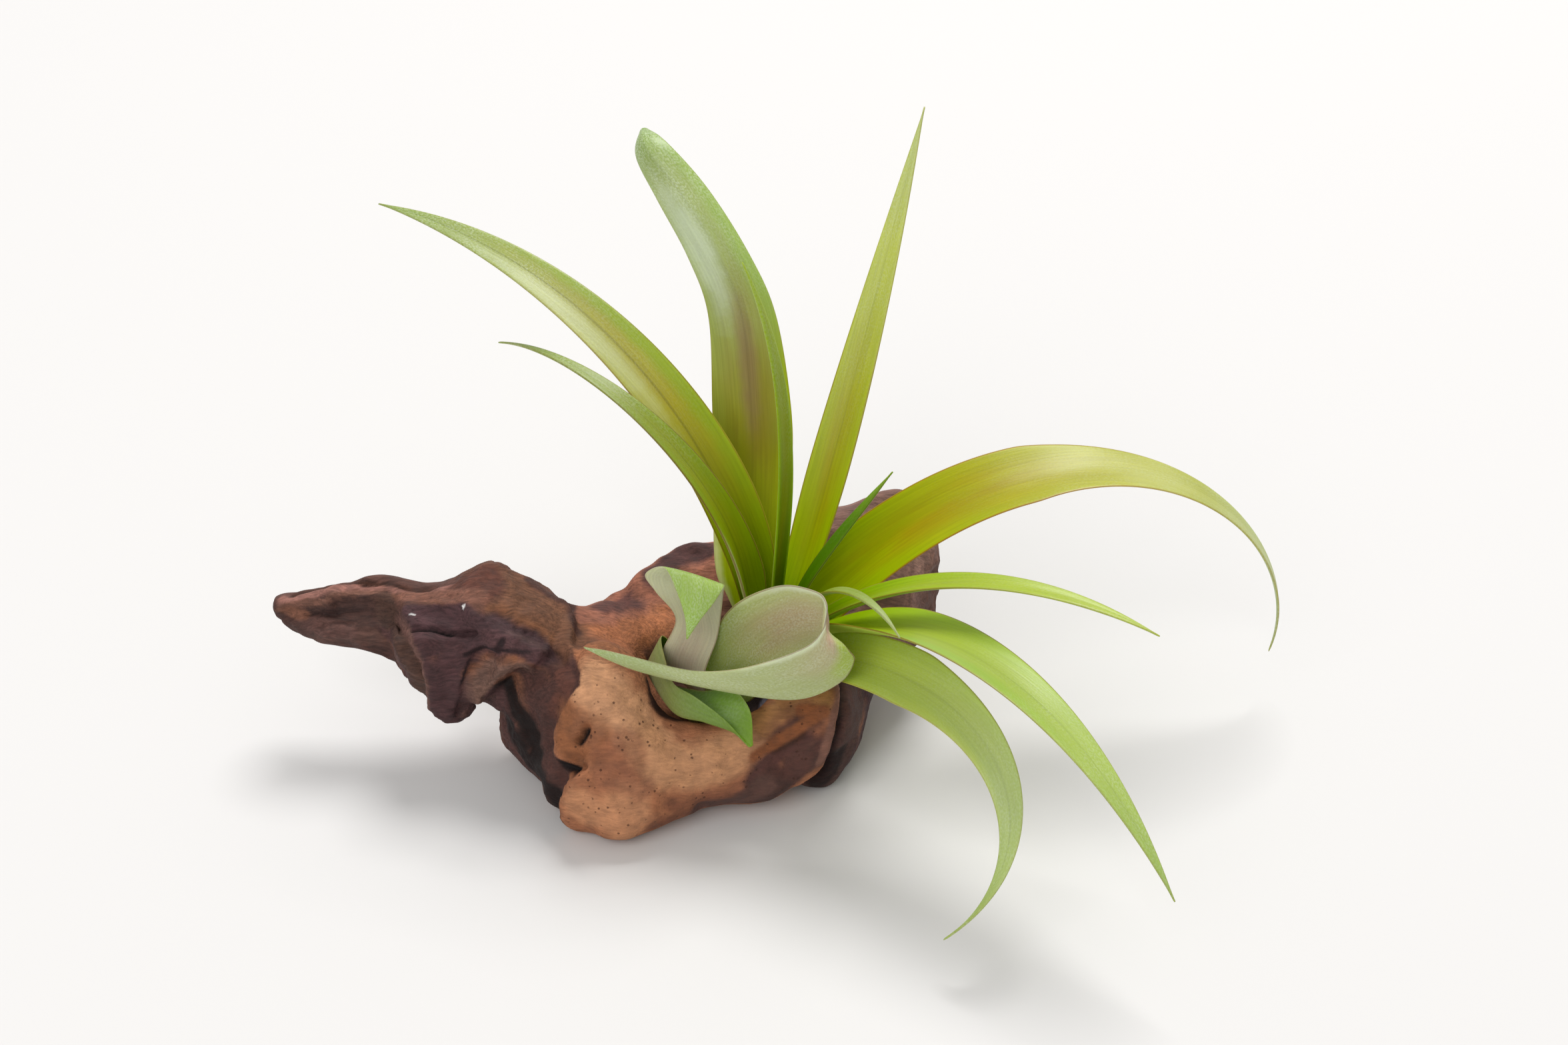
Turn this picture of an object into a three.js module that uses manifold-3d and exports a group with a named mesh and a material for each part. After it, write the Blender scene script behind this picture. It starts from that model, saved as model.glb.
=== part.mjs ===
// An air plant seated in the hollow of a piece of driftwood: fourteen strap leaves
// on one short stem. Millimetres, +Z up, standing on z = 0.
// Every place below is written from the point of the ground under the crown of the
// plant, and the whole is moved at the end so that its footprint is centred on the origin.
import * as THREE from 'three';
import Module from 'manifold-3d';

const wasm = await Module();
wasm.setup();

const clearance = 0.35;        // between a piece and the one that it grows or rests on
const leafThickness = 0.8;
const smallestWidth = 0.9;     // of a leaf, at its very tip
const bladeSteps = 20;         // rows of faces along a blade
const sheathSteps = 4;         // and along its base, down to the stem

const v3 = (x, y, z) => new THREE.Vector3(x, y, z);
const mix = (a, b, t) => a + (b - a) * t;
const clamp = (x, low, high) => Math.min(high, Math.max(low, x));
const radians = THREE.MathUtils.degToRad;

// ---------------------------------------------------------------- solids and meshes

function toSolid(positions, triangles) {
  return new wasm.Manifold(new wasm.Mesh({
    numProp: 3,
    vertProperties: Float32Array.from(positions),
    triVerts: Uint32Array.from(triangles),
  }));
}

function toMesh(name, solid, material) {
  const { vertProperties, triVerts } = solid.getMesh();
  const geometry = new THREE.BufferGeometry();
  geometry.setAttribute('position', new THREE.BufferAttribute(vertProperties, 3));
  geometry.setIndex(new THREE.BufferAttribute(triVerts, 1));
  geometry.computeVertexNormals();
  const mesh = new THREE.Mesh(geometry, material);
  mesh.name = name;
  return mesh;
}

// A cut can leave a loose crumb: only the largest body is kept.
function largestBody(solid) {
  return solid.decompose().sort((a, b) => b.volume() - a.volume())[0];
}

// ---------------------------------------------------------------- the stem

const stem = {
  foot: v3(-17, 4, 14),        // where the stem comes clear of the wood
  crown: v3(0, 0, 38),         // the point that it leans towards
  // height along the stem, and its radius there
  profile: [[-8, 4.4], [-3, 3.8], [3, 3.3], [9, 2.8], [15, 2.3], [19, 1.9], [20.2, 1]],
};
stem.axis = stem.crown.clone().sub(stem.foot).normalize();

function stemRadius(height) {
  const p = stem.profile;
  const i = clamp(p.findIndex(([h]) => h >= height), 1, p.length - 1);
  const t = clamp((height - p[i - 1][0]) / (p[i][0] - p[i - 1][0]), 0, 1);
  return mix(p[i - 1][1], p[i][1], t);
}

// A point beside the stem: height along it, distance out from its axis, and heading.
function besideStem(height, out, azimuth) {
  const heading = v3(Math.cos(azimuth), Math.sin(azimuth), 0);
  const outward = heading.addScaledVector(stem.axis, -heading.dot(stem.axis)).normalize();
  return stem.foot.clone().addScaledVector(stem.axis, height).addScaledVector(outward, out);
}

function makeStem(wall) {
  const sides = 14;
  const positions = [];
  const triangles = [];
  const last = stem.profile.length - 1;
  stem.profile.forEach(([height, radius], j) => {
    const beyond = { 0: -wall, [last]: wall }[j] ?? 0;
    for (let i = 0; i < sides; i += 1) {
      positions.push(...besideStem(height + beyond, radius + wall, (2 * Math.PI * i) / sides));
    }
  });
  for (let j = 0; j < last; j += 1) {
    for (let i = 0; i < sides; i += 1) {
      const a = j * sides + i;
      const b = j * sides + ((i + 1) % sides);
      triangles.push(a, b, b + sides, a, b + sides, a + sides);
    }
  }
  const ends = [[0, -wall], [last, wall]];
  for (const [row, beyond] of ends) {
    const centre = positions.length / 3;
    positions.push(...besideStem(stem.profile[row][0] + 1.5 * beyond, 0, 0));
    for (let i = 0; i < sides; i += 1) {
      const a = row * sides + i;
      const b = row * sides + ((i + 1) % sides);
      triangles.push(...(row === 0 ? [centre, b, a] : [centre, a, b]));
    }
  }
  return toSolid(positions, triangles);
}

// ---------------------------------------------------------------- the leaves

// Ten leaves arch away from the crown. hold is the height on the stem where the leaf
// is attached, height and out place the start of its blade beside the stem, and azimuth
// and lift are the way it sets off, in degrees. It droops by droop and swings by swing
// on the way to its tip, late or swingLate when that happens near the tip. roll and
// twist turn it about its own length. It is base times its full width where it starts,
// full at the fraction full of its length, and tapers with the power taper.
const archedLeaves = {
  inner_spike_leaf: {
    hold: 20.8, height: 26, out: 0.8, azimuth: 24, lift: 79, droop: 54, late: 0.6,
    swing: 22, swingLate: 1.3, length: 36, width: 2.9, base: 0.8, full: 0.33, taper: 1.75,
    roll: -2, twist: 6, channel: 0.2, colour: '#4f7a1e',
  },
  inner_curl_leaf: {
    hold: 18.5, height: 27, out: 2, azimuth: -31.6, lift: 72, droop: 101.4, late: 1.17,
    swing: -26.5, swingLate: 0.62, length: 37.5, width: 3.3, base: 0.8, full: 0.3, taper: 1.8,
    roll: -7, twist: -1, channel: 0.25, colour: '#8aa23c',
  },
  inner_narrow_leaf: {
    hold: 17.5, height: 24.5, out: 2.2, azimuth: 130, lift: 97, droop: 41.5, late: 2.27,
    swing: 11, swingLate: 1, length: 76.7, width: 5.4, base: 0.79, full: 0.32, taper: 1.73,
    roll: 20, twist: -13, channel: 0.2, colour: '#55771d',
  },
  upper_right_leaf: {
    hold: 16.5, height: 24, out: 2.4, azimuth: 61, lift: 54, droop: -3.7, late: 1.15,
    swing: 2.4, swingLate: 1, length: 102, width: 8.8, base: 0.6, full: 0.3, taper: 1.6,
    roll: -4, twist: 3, channel: 0.2, colour: '#8f9f3c',
  },
  right_narrow_leaf: {
    hold: 15.5, height: 25, out: 3.4, azimuth: -11.5, lift: 52.5, droop: 68, late: 0.81,
    swing: -17.5, swingLate: 0.88, length: 76.7, width: 6.4, base: 0.7, full: 0.31,
    taper: 1.97, roll: -7, twist: 6, channel: 0.3, colour: '#7fa032',
  },
  left_narrow_leaf: {
    hold: 15, height: 24, out: 4.2, azimuth: 176, lift: 84.5, droop: 108, late: 1.16,
    swing: -41, swingLate: 0.74, length: 86.4, width: 8.8, base: 0.65, full: 0.09,
    taper: 1.03, roll: -15, twist: 16.5, channel: 0.3, colour: '#7c9440',
  },
  right_arch_leaf: {
    hold: 13, height: 21, out: 3.8, azimuth: 35.5, lift: 36, droop: 140, late: 1.85,
    swing: -49, swingLate: 0.72, length: 139, width: 16.5, base: 0.82, full: 0.42,
    taper: 0.8, roll: 19, twist: -26, channel: 0.16, colour: '#8fa238',
  },
  upper_left_leaf: {
    hold: 12, height: 22, out: 4.5, azimuth: 139.5, lift: 95, droop: 97.5, late: 0.63,
    swing: 10.5, swingLate: 0.77, length: 120.7, width: 12.3, base: 0.7, full: 0.21,
    taper: 1.81, roll: -6, twist: -22.3, channel: 0.2, colour: '#8c9c46',
  },
  front_right_leaf: {
    hold: 11, height: 22, out: 4.4, azimuth: -15, lift: 73.5, droop: 114, late: 0.5,
    swing: -44, swingLate: 0.5, length: 105.5, width: 19, base: 0.22, full: 0.26,
    taper: 0.93, roll: -25.5, twist: 28, channel: 0.2, colour: '#8aa63e',
  },
  front_curved_leaf: {
    hold: 9, height: 18, out: 6, azimuth: -34.5, lift: 64, droop: 115.5, late: 0.53,
    swing: -166, swingLate: 3.3, length: 94.7, width: 12.3, base: 0.69, full: 0.36,
    taper: 0.85, roll: 21, twist: 8, channel: 0.2, colour: '#86a842',
  },
};

// The broad leaf at the back and three leaves at the front turn or fold too much for that.
// Each is drawn through points on its left and right margins, from the stem to the tip.
// Its midrib bows out of the plane of the margins by bow, or has points of its own.
// Where a leaf folds, its rows lie along the fold, so that it never meets itself.
const drawnLeaves = {
  back_broad_leaf: {
    left: [[-9.8, 6.6, 27], [-13.4, 7.6, 35.5], [-15.8, 11, 40.6], [-16.1, 22, 55.1],
      [-16.3, 28, 66.3], [-17, 37, 81], [-20.9, 43, 90.5], [-27, 51, 98.9],
      [-31.2, 58, 104.6], [-34.2, 64.5, 105]],
    right: [[-5.5, 7.5, 27], [-3.4, 8, 35.5], [-2.4, 12, 41.6], [-0.7, 22, 55.1],
      [-0.9, 28, 66.3], [-3.8, 37, 81.3], [-9, 43, 91.5], [-17, 51, 101.4],
      [-25, 57, 108.3], [-33.4, 65, 106]],
    bow: 2.2, colour: '#87954a',
  },
  front_twisted_leaf: {
    left: [[-19, 0.8, 21], [-13.2, -4.3, 40.5], [-3.7, -7.7, 49.2], [3.4, -11.7, 51],
      [5.2, -14.7, 50.5], [5.8, -16.2, 48], [4.3, -17.5, 45.6], [1.7, -17.5, 42.5],
      [-4.5, -16.5, 38.6], [-12, -16.5, 36.3], [-20, -15, 35], [-30, -12.5, 36],
      [-36, -11, 36.6], [-40, -10, 36.5]],
    right: [[-9.5, -5.5, 19], [-3, -9.4, 28.5], [2.5, -12.3, 35.9], [5.4, -15.2, 40.9],
      [7, -16.6, 43.6], [9.1, -17.2, 44.1], [10.3, -18.8, 42.2], [10.8, -18.1, 39.6],
      [8.2, -18, 34.3], [0, -18.7, 30.8], [-14, -17, 31.6], [-28, -13, 32.5],
      [-34.5, -11.5, 34.2], [-40, -10, 36.5]],
    bow: -0.8, colour: '#a3ab82',
  },
  folded_tip_leaf: {
    left: [[-22, 3, 17], [-26, -1, 27], [-23, -2, 37], [-26.5, -4, 45],
      [-28.3, -5, 49.8], [-24.7, -6.5, 52.5], [-22.2, -9, 48.6], [-20.8, -10, 43.4],
      [-20.6, -10.4, 38.7]],
    right: [[-17.5, -1.6, 16], [-17.5, -4, 25.5], [-15, -4, 34], [-14, -4.5, 41.5],
      [-13.5, -5, 46.8], [-13.5, -7.2, 48.2], [-15.2, -9.4, 46.6], [-17.8, -10.2, 43.2],
      [-20.4, -10.4, 38.7]],
    bow: -0.3, colour: '#a4aa86',
  },
  low_front_leaf: {
    left: [[-19.2, 2.4, 20.9], [-25.7, 1.4, 30.5], [-24.7, -6.6, 29.8], [-23, -12.3, 29.5],
      [-19.1, -16.1, 29.6], [-13.4, -19.3, 26.5], [-8.9, -20.7, 20.9]],
    rib: [[-20.7, 4.7, 17.4], [-27.1, 0.7, 25.5], [-28.1, -4.8, 26], [-23, -13.9, 24],
      [-17, -17.6, 24.8], [-11.2, -18.9, 23.2], [-8.5, -20.5, 20.9]],
    right: [[-20.8, 8.5, 13.9], [-26.9, 3.7, 21.5], [-26, -3.2, 23], [-18, -10, 26],
      [-12.4, -12.6, 28.8], [-8.7, -17.3, 27.3], [-8.1, -20.3, 21.1]],
    bow: 0, colour: '#8d9c5c',
  },
};

// Leaves from the inside of the rosette outwards: each is cut clear of those before it.
const nesting = [
  'inner_spike_leaf', 'inner_curl_leaf', 'inner_narrow_leaf', 'upper_right_leaf',
  'right_narrow_leaf', 'left_narrow_leaf', 'right_arch_leaf', 'upper_left_leaf',
  'front_right_leaf', 'back_broad_leaf', 'front_curved_leaf', 'front_twisted_leaf',
  'folded_tip_leaf', 'low_front_leaf',
];

function leafWidth(leaf, t) {
  if (t < leaf.full) {
    const rise = Math.sin((Math.PI / 2) * (t / leaf.full));
    return leaf.width * mix(leaf.base, 1, rise);
  }
  return leaf.width * (1 - ((t - leaf.full) / (1 - leaf.full)) ** leaf.taper);
}

// The way along the leaf, across it and out of its upper face at the fraction t.
function leafFrame(leaf, t) {
  const lift = radians(leaf.lift - leaf.droop * t ** leaf.late);
  const azimuth = radians(leaf.azimuth + leaf.swing * t ** leaf.swingLate);
  const along = v3(
    Math.cos(lift) * Math.cos(azimuth), Math.cos(lift) * Math.sin(azimuth), Math.sin(lift),
  );
  const upper = v3(
    -Math.sin(lift) * Math.cos(azimuth), -Math.sin(lift) * Math.sin(azimuth), Math.cos(lift),
  );
  const across = along.clone().cross(upper);
  const roll = radians(leaf.roll + leaf.twist * t);
  return { along, across: across.applyAxisAngle(along, roll), upper: upper.applyAxisAngle(along, roll) };
}

// One row of a leaf: its left margin, its sunken midrib and its right margin.
function row(centre, frame, width, sink) {
  const half = Math.max(width, smallestWidth) / 2;
  return {
    left: centre.clone().addScaledVector(frame.across, -half),
    rib: centre.clone().addScaledVector(frame.upper, -sink),
    right: centre.clone().addScaledVector(frame.across, half),
  };
}

function archedRows(leaf) {
  const rows = [];
  const azimuth = radians(leaf.azimuth);
  const start = besideStem(leaf.height, leaf.out, azimuth);
  const first = leafFrame(leaf, 0);

  // the base runs down to the stem in one bend, and narrows on the way
  const held = leaf.hold > 20 ? 0.3 : stemRadius(leaf.hold) + clearance + leafThickness / 2;
  const attached = besideStem(leaf.hold, held, azimuth);
  const bend = start.clone().addScaledVector(first.along, -0.5 * start.distanceTo(attached));
  const curve = new THREE.QuadraticBezierCurve3(attached, bend, start);
  for (let i = 0; i < sheathSteps; i += 1) {
    const t = i / sheathSteps;
    const along = curve.getTangent(t);
    const across = first.across.clone().addScaledVector(along, -first.across.dot(along));
    const frame = { across: across.normalize(), upper: across.clone().cross(along) };
    const width = leafWidth(leaf, 0) * mix(0.55, 1, t);
    rows.push(row(curve.getPoint(t), frame, width, leaf.channel * width));
  }

  // the blade is walked in short steps, each along the middle direction of its step
  const centre = start.clone();
  for (let i = 0; i <= bladeSteps; i += 1) {
    const t = i / bladeSteps;
    const width = leafWidth(leaf, t);
    const sink = width * leaf.channel * mix(1, 0.35, Math.min(1, 1.6 * t));
    rows.push(row(centre, leafFrame(leaf, t), width, sink));
    const middle = leafFrame(leaf, Math.min(1, t + 0.5 / bladeSteps));
    centre.addScaledVector(middle.along, leaf.length / bladeSteps);
  }
  return rows;
}

function smoothPoint(points, t) {
  const span = clamp(t, 0, 1) * (points.length - 1);
  const i = Math.min(Math.floor(span), points.length - 2);
  const f = span - i;
  const at = (j) => v3(...points[j]);
  const before = i > 0 ? at(i - 1) : at(0).multiplyScalar(2).sub(at(1));
  const after = i + 2 < points.length
    ? at(i + 2) : at(points.length - 1).multiplyScalar(2).sub(at(points.length - 2));
  const blend = (a, b, c, d) => 0.5 * (2 * b + (c - a) * f
    + (2 * a - 5 * b + 4 * c - d) * f * f + (3 * b - a - 3 * c + d) * f ** 3);
  const [b, c] = [at(i), at(i + 1)];
  return v3(
    blend(before.x, b.x, c.x, after.x),
    blend(before.y, b.y, c.y, after.y),
    blend(before.z, b.z, c.z, after.z),
  );
}

function drawnRows(leaf) {
  const steps = 3 * (leaf.left.length - 1);
  const edges = [];
  let over;
  for (let i = 0; i <= steps; i += 1) {
    const [left, right] = [smoothPoint(leaf.left, i / steps), smoothPoint(leaf.right, i / steps)];
    const width = left.distanceTo(right);
    over = width > smallestWidth / 3 ? right.clone().sub(left).normalize() : over;
    if (width < smallestWidth) {
      const centre = left.clone().lerp(right, 0.5);
      left.copy(centre).addScaledVector(over, -smallestWidth / 2);
      right.copy(centre).addScaledVector(over, smallestWidth / 2);
    }
    edges.push([left, right]);
  }
  return edges.map(([left, right], i) => {
    if (leaf.rib) {
      return { left, rib: smoothPoint(leaf.rib, i / steps), right };
    }
    // the midrib bows out of the plane of the two margins
    const [before, after] = [edges[Math.max(0, i - 1)], edges[Math.min(steps, i + 1)]];
    const along = after[0].clone().add(after[1]).sub(before[0]).sub(before[1]);
    const out = right.clone().sub(left).cross(along).normalize();
    const bow = leaf.bow * Math.min(1, left.distanceTo(right) / 8);
    return { left, rib: left.clone().lerp(right, 0.5).addScaledVector(out, bow), right };
  });
}

// A leaf solid from its rows: each row is a curve through its three points, and both
// faces lie half a thickness from it, split into triangles alike. extra grows it all round.
function leafSolid(rows, extra = 0) {
  const across = 4;
  const half = leafThickness / 2 + extra;
  const grid = rows.map(({ left, rib, right }) => {
    const points = [];
    for (let j = 0; j <= across; j += 1) {
      const s = -1 + (2 * j) / across;
      points.push(left.clone().multiplyScalar((s * (s - 1)) / 2)
        .addScaledVector(rib, 1 - s * s)
        .addScaledVector(right, (s * (s + 1)) / 2));
    }
    points[0].add(points[0].clone().sub(points[1]).setLength(extra));
    points[across].add(points[across].clone().sub(points[across - 1]).setLength(extra));
    return points;
  });
  const last = grid.length - 1;
  grid[0].forEach((p, j) => p.add(p.clone().sub(grid[1][j]).setLength(extra)));
  grid[last].forEach((p, j) => p.add(p.clone().sub(grid[last - 1][j]).setLength(extra)));

  const positions = [];
  for (let i = 0; i <= last; i += 1) {
    for (let j = 0; j <= across; j += 1) {
      const along = grid[Math.min(last, i + 1)][j].clone().sub(grid[Math.max(0, i - 1)][j]);
      const over = grid[i][Math.min(across, j + 1)].clone().sub(grid[i][Math.max(0, j - 1)]);
      const out = over.cross(along).setLength(half);
      positions.push(...grid[i][j].clone().add(out), ...grid[i][j].clone().sub(out));
    }
  }
  const index = (i, j, under) => 2 * (i * (across + 1) + j) + under;
  const triangles = [];
  for (let i = 0; i < last; i += 1) {
    for (let j = 0; j < across; j += 1) {
      const corners = [[i, j], [i, j + 1], [i + 1, j + 1], [i + 1, j]];
      const [a, b, c, d] = corners.map(([m, n]) => index(m, n, 0));
      const [e, f, g, h] = corners.map(([m, n]) => index(m, n, 1));
      triangles.push(a, b, c, a, c, d, e, g, f, e, h, g);
    }
    for (const [j, k] of [[0, 1], [across, -1]]) {
      const [a, b, c, d] = [index(i, j, 0), index(i + 1, j, 0), index(i + 1, j, 1), index(i, j, 1)];
      triangles.push(...(k > 0 ? [a, b, c, a, c, d] : [a, c, b, a, d, c]));
    }
  }
  for (let j = 0; j < across; j += 1) {
    for (const [i, flip] of [[0, false], [last, true]]) {
      const [a, b, c, d] = [index(i, j, 0), index(i, j + 1, 0), index(i, j + 1, 1), index(i, j, 1)];
      triangles.push(...(flip ? [a, b, c, a, c, d] : [a, c, b, a, d, c]));
    }
  }
  return toSolid(positions, triangles);
}

// ---------------------------------------------------------------- the driftwood

// The wood is a field of distances: tapered limbs that melt into each other, less the
// hollows. A limb is a chain of points, each with its radius.
const limbs = [
  { name: 'arm', melt: 4, chain: [[-100.6, 13, 28.5, 2.4], [-90, 11, 28.5, 6],
    [-74, 9, 28.2, 7.8], [-60, 8, 28, 9.5]] },
  { name: 'knob', melt: 4, chain: [[-57.5, 9, 28.6, 10.4], [-51, 3, 24.5, 9]] },
  { name: 'lobe', melt: 2, chain: [[-76, 4, 29, 5], [-67, 1, 14.5, 4.2]] },
  { name: 'nose', melt: 2, chain: [[-70, 2, 27, 6.5], [-54.5, 0, 27, 4.5]] },
  { name: 'lobe front', melt: 3, chain: [[-68, 2, 24, 7], [-62, 2, 22, 5]] },
  { name: 'neck', melt: 4, chain: [[-52, 3, 26, 9.5], [-47, -1, 9, 9]] },
  { name: 'left foot', melt: 4, chain: [[-50, 1, 8, 8.2], [-38, -12, 10, 10.3]] },
  { name: 'front left', melt: 4, chain: [[-38, -7, 21.5, 11], [-35, -15.5, 10.5, 11.3]] },
  { name: 'front wall', melt: 4, chain: [[-35, -15.5, 10.5, 11.3], [-21, -12, 11, 10.3],
    [-6, -8, 11.5, 10.5], [2.5, -3, 15, 9.8]] },
  { name: 'right leg', melt: 2.5, chain: [[4.2, -7, 4.6, 5.2], [7.5, 5, 11, 7],
    [17.5, 25, 22, 9.5]] },
  { name: 'shoulder', melt: 4, chain: [[18.5, 25, 24.5, 9.8], [19.5, 33, 32, 8.8], [9, 32, 30, 8]] },
  { name: 'back wall', melt: 5, chain: [[-43, 7, 20, 9], [-31, 19, 17, 9.8],
    [-17, 29, 19, 11], [0, 29, 19, 11], [16, 26, 20, 10]] },
  { name: 'bed', melt: 5, chain: [[-25, 4, 9, 9.6], [2, 13, 11, 10.8]] },
  { name: 'back foot', melt: 5, chain: [[-22, 27, 15, 8], [-24, 31, 6.4, 7]] },
];
const hollows = [
  { name: 'pocket', melt: 2.5, centre: [-17, 0.5, 23], radii: [14, 13.5, 15] },
  { name: 'valley', melt: 4, centre: [-21, 15, 39], radii: [15, 15, 15] },
  { name: 'dish under the leaves', melt: 3, centre: [0, -1, 38], radii: [16, 11, 13] },
  { name: 'upper knot', melt: 0.8, centre: [-41, -22.5, 22], radii: [1.6, 3, 2.6] },
];
const woodCell = 3;            // grain of the mesh
const woodLow = [-110, -36, -4];
const woodHigh = [38, 50, 48];
const footSnap = 0.7;          // anything this close to the ground is made flat on it

function smoothMin(a, b, k) {
  const h = clamp(0.5 + (0.5 * (b - a)) / k, 0, 1);
  return mix(b, a, h) - k * h * (1 - h);
}

function limbDistance(p, chain) {
  let nearest = Infinity;
  for (let i = 1; i < chain.length; i += 1) {
    const [ax, ay, az, ar] = chain[i - 1];
    const [bx, by, bz, br] = chain[i];
    const [dx, dy, dz] = [bx - ax, by - ay, bz - az];
    const t = ((p.x - ax) * dx + (p.y - ay) * dy + (p.z - az) * dz) / (dx * dx + dy * dy + dz * dz);
    const s = clamp(t, 0, 1);
    const gap = Math.hypot(p.x - ax - s * dx, p.y - ay - s * dy, p.z - az - s * dz);
    nearest = Math.min(nearest, gap - mix(ar, br, s));
  }
  return nearest;
}

function hollowDistance(p, { centre, radii }) {
  const q = [p.x - centre[0], p.y - centre[1], p.z - centre[2]];
  const unit = Math.hypot(...q.map((x, i) => x / radii[i]));
  const slope = Math.hypot(...q.map((x, i) => x / radii[i] ** 2));
  return slope > 0 ? (unit * (unit - 1)) / slope : -Math.min(...radii);
}

// Long shallow ripples run round the wood, as weathering leaves them.
function weathering(p) {
  return 0.45 * Math.sin(0.31 * p.x + 0.12 * p.z + 0.6 * Math.sin(0.17 * p.y))
    + 0.4 * Math.sin(0.36 * p.y - 0.21 * p.z + 0.9 * Math.sin(0.13 * p.x))
    + 0.3 * Math.sin(0.43 * p.z + 0.19 * p.x);
}

function woodDistance(p) {
  let d = Infinity;
  for (const limb of limbs) {
    const next = limbDistance(p, limb.chain);
    d = d === Infinity ? next : smoothMin(d, next, limb.melt);
  }
  d += weathering(p);
  for (const hollow of hollows) {
    d = -smoothMin(-d, hollowDistance(p, hollow), hollow.melt);
  }
  return Math.max(d, -p.z);
}

// The surface at the given distance from the wood: one vertex in every cell of a grid
// that the surface passes through, and one face across every edge that it crosses.
function woodSolid(offset) {
  const size = woodLow.map((low, i) => Math.ceil((woodHigh[i] - low) / woodCell) + 1);
  const at = (i, j, k) => (i * size[1] + j) * size[2] + k;
  const place = (i, j, k) => v3(...[i, j, k].map((n, axis) => woodLow[axis] + n * woodCell));
  const field = new Float64Array(size[0] * size[1] * size[2]);
  for (let i = 0; i < size[0]; i += 1) {
    for (let j = 0; j < size[1]; j += 1) {
      for (let k = 0; k < size[2]; k += 1) {
        field[at(i, j, k)] = woodDistance(place(i, j, k)) - offset;
      }
    }
  }
  const corners = [0, 1].flatMap((a) => [0, 1].flatMap((b) => [0, 1].map((c) => [a, b, c])));
  const positions = [];
  const vertex = new Map();
  for (let i = 0; i < size[0] - 1; i += 1) {
    for (let j = 0; j < size[1] - 1; j += 1) {
      for (let k = 0; k < size[2] - 1; k += 1) {
        const inside = corners.map(([a, b, c]) => field[at(i + a, j + b, k + c)] < 0);
        if (inside.every(Boolean) || !inside.some(Boolean)) continue;
        vertex.set(at(i, j, k), positions.length / 3);
        positions.push(...settle(cellCentre(i, j, k), offset));
      }
    }
  }

  function cellCentre(i, j, k) {
    const sum = v3(0, 0, 0);
    let count = 0;
    corners.forEach(([a, b, c]) => {
      [[1, 0, 0], [0, 1, 0], [0, 0, 1]].forEach(([x, y, z]) => {
        if ((a && x) || (b && y) || (c && z)) return;
        const from = field[at(i + a, j + b, k + c)];
        const to = field[at(i + a + x, j + b + y, k + c + z)];
        if ((from < 0) === (to < 0)) return;
        const t = from / (from - to);
        sum.add(place(i + a + x * t, j + b + y * t, k + c + z * t));
        count += 1;
      });
    });
    return sum.divideScalar(count);
  }

  const triangles = [];
  const steps = [[1, 0, 0], [0, 1, 0], [0, 0, 1]];
  for (let i = 1; i < size[0] - 1; i += 1) {
    for (let j = 1; j < size[1] - 1; j += 1) {
      for (let k = 1; k < size[2] - 1; k += 1) {
        steps.forEach(([x, y, z], axis) => {
          const from = field[at(i, j, k)] < 0;
          const to = field[at(i + x, j + y, k + z)] < 0;
          if (from === to) return;
          const [u, w] = [steps[(axis + 1) % 3], steps[(axis + 2) % 3]];
          const ring = [[0, 0], [1, 0], [1, 1], [0, 1]].map(([m, n]) => vertex.get(
            at(i - m * u[0] - n * w[0], j - m * u[1] - n * w[1], k - m * u[2] - n * w[2]),
          ));
          const [a, b, c, d] = from ? ring : ring.reverse();
          triangles.push(a, b, c, a, c, d);
        });
      }
    }
  }
  return toSolid(positions, triangles);
}

// Moves a vertex onto the surface, or flat onto the ground beside it.
function settle(point, offset) {
  const p = point.clone();
  const reach = 0.05;
  for (let n = 0; n < 3; n += 1) {
    const d = woodDistance(p) - offset;
    const slope = v3(
      woodDistance(v3(p.x + reach, p.y, p.z)) - offset - d,
      woodDistance(v3(p.x, p.y + reach, p.z)) - offset - d,
      woodDistance(v3(p.x, p.y, p.z + reach)) - offset - d,
    ).divideScalar(reach);
    p.addScaledVector(slope, -clamp(d, -0.8, 0.8) / Math.max(0.3, slope.lengthSq()));
  }
  p.clamp(point.clone().subScalar(woodCell / 2), point.clone().addScalar(woodCell / 2));
  if (offset === 0 && p.z < footSnap) p.z = 0;
  return p;
}

// ---------------------------------------------------------------- the whole

const woodMaterial = new THREE.MeshStandardMaterial({ color: '#7a5240', roughness: 0.85, metalness: 0 });
const stemMaterial = new THREE.MeshStandardMaterial({ color: '#6f7a3e', roughness: 0.8, metalness: 0 });
const leafMaterial = (colour) => new THREE.MeshStandardMaterial({
  color: colour, roughness: 0.55, metalness: 0,
});

const plant = new THREE.Group();
plant.add(toMesh('driftwood', woodSolid(0), woodMaterial));
plant.add(toMesh('stem', largestBody(makeStem(0).subtract(woodSolid(1.3 * clearance))), stemMaterial));

const inner = [makeStem(clearance)];
for (const name of nesting) {
  const leaf = archedLeaves[name] ?? drawnLeaves[name];
  const rows = leaf.left ? drawnRows(leaf) : archedRows(leaf);
  const cut = inner.reduce((solid, other) => solid.subtract(other), leafSolid(rows));
  plant.add(toMesh(name, largestBody(cut), leafMaterial(leaf.colour)));
  inner.push(leafSolid(rows, clearance));
}

const footprint = new THREE.Box3().setFromObject(plant);
const middle = footprint.getCenter(v3(0, 0, 0));
plant.children.forEach((mesh) => mesh.geometry.translate(-middle.x, -middle.y, -footprint.min.z));

export default plant;
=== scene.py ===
import math

import bmesh
import bpy
import numpy as np
from mathutils import Matrix, Vector, noise
from mathutils.bvhtree import BVHTree


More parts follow.
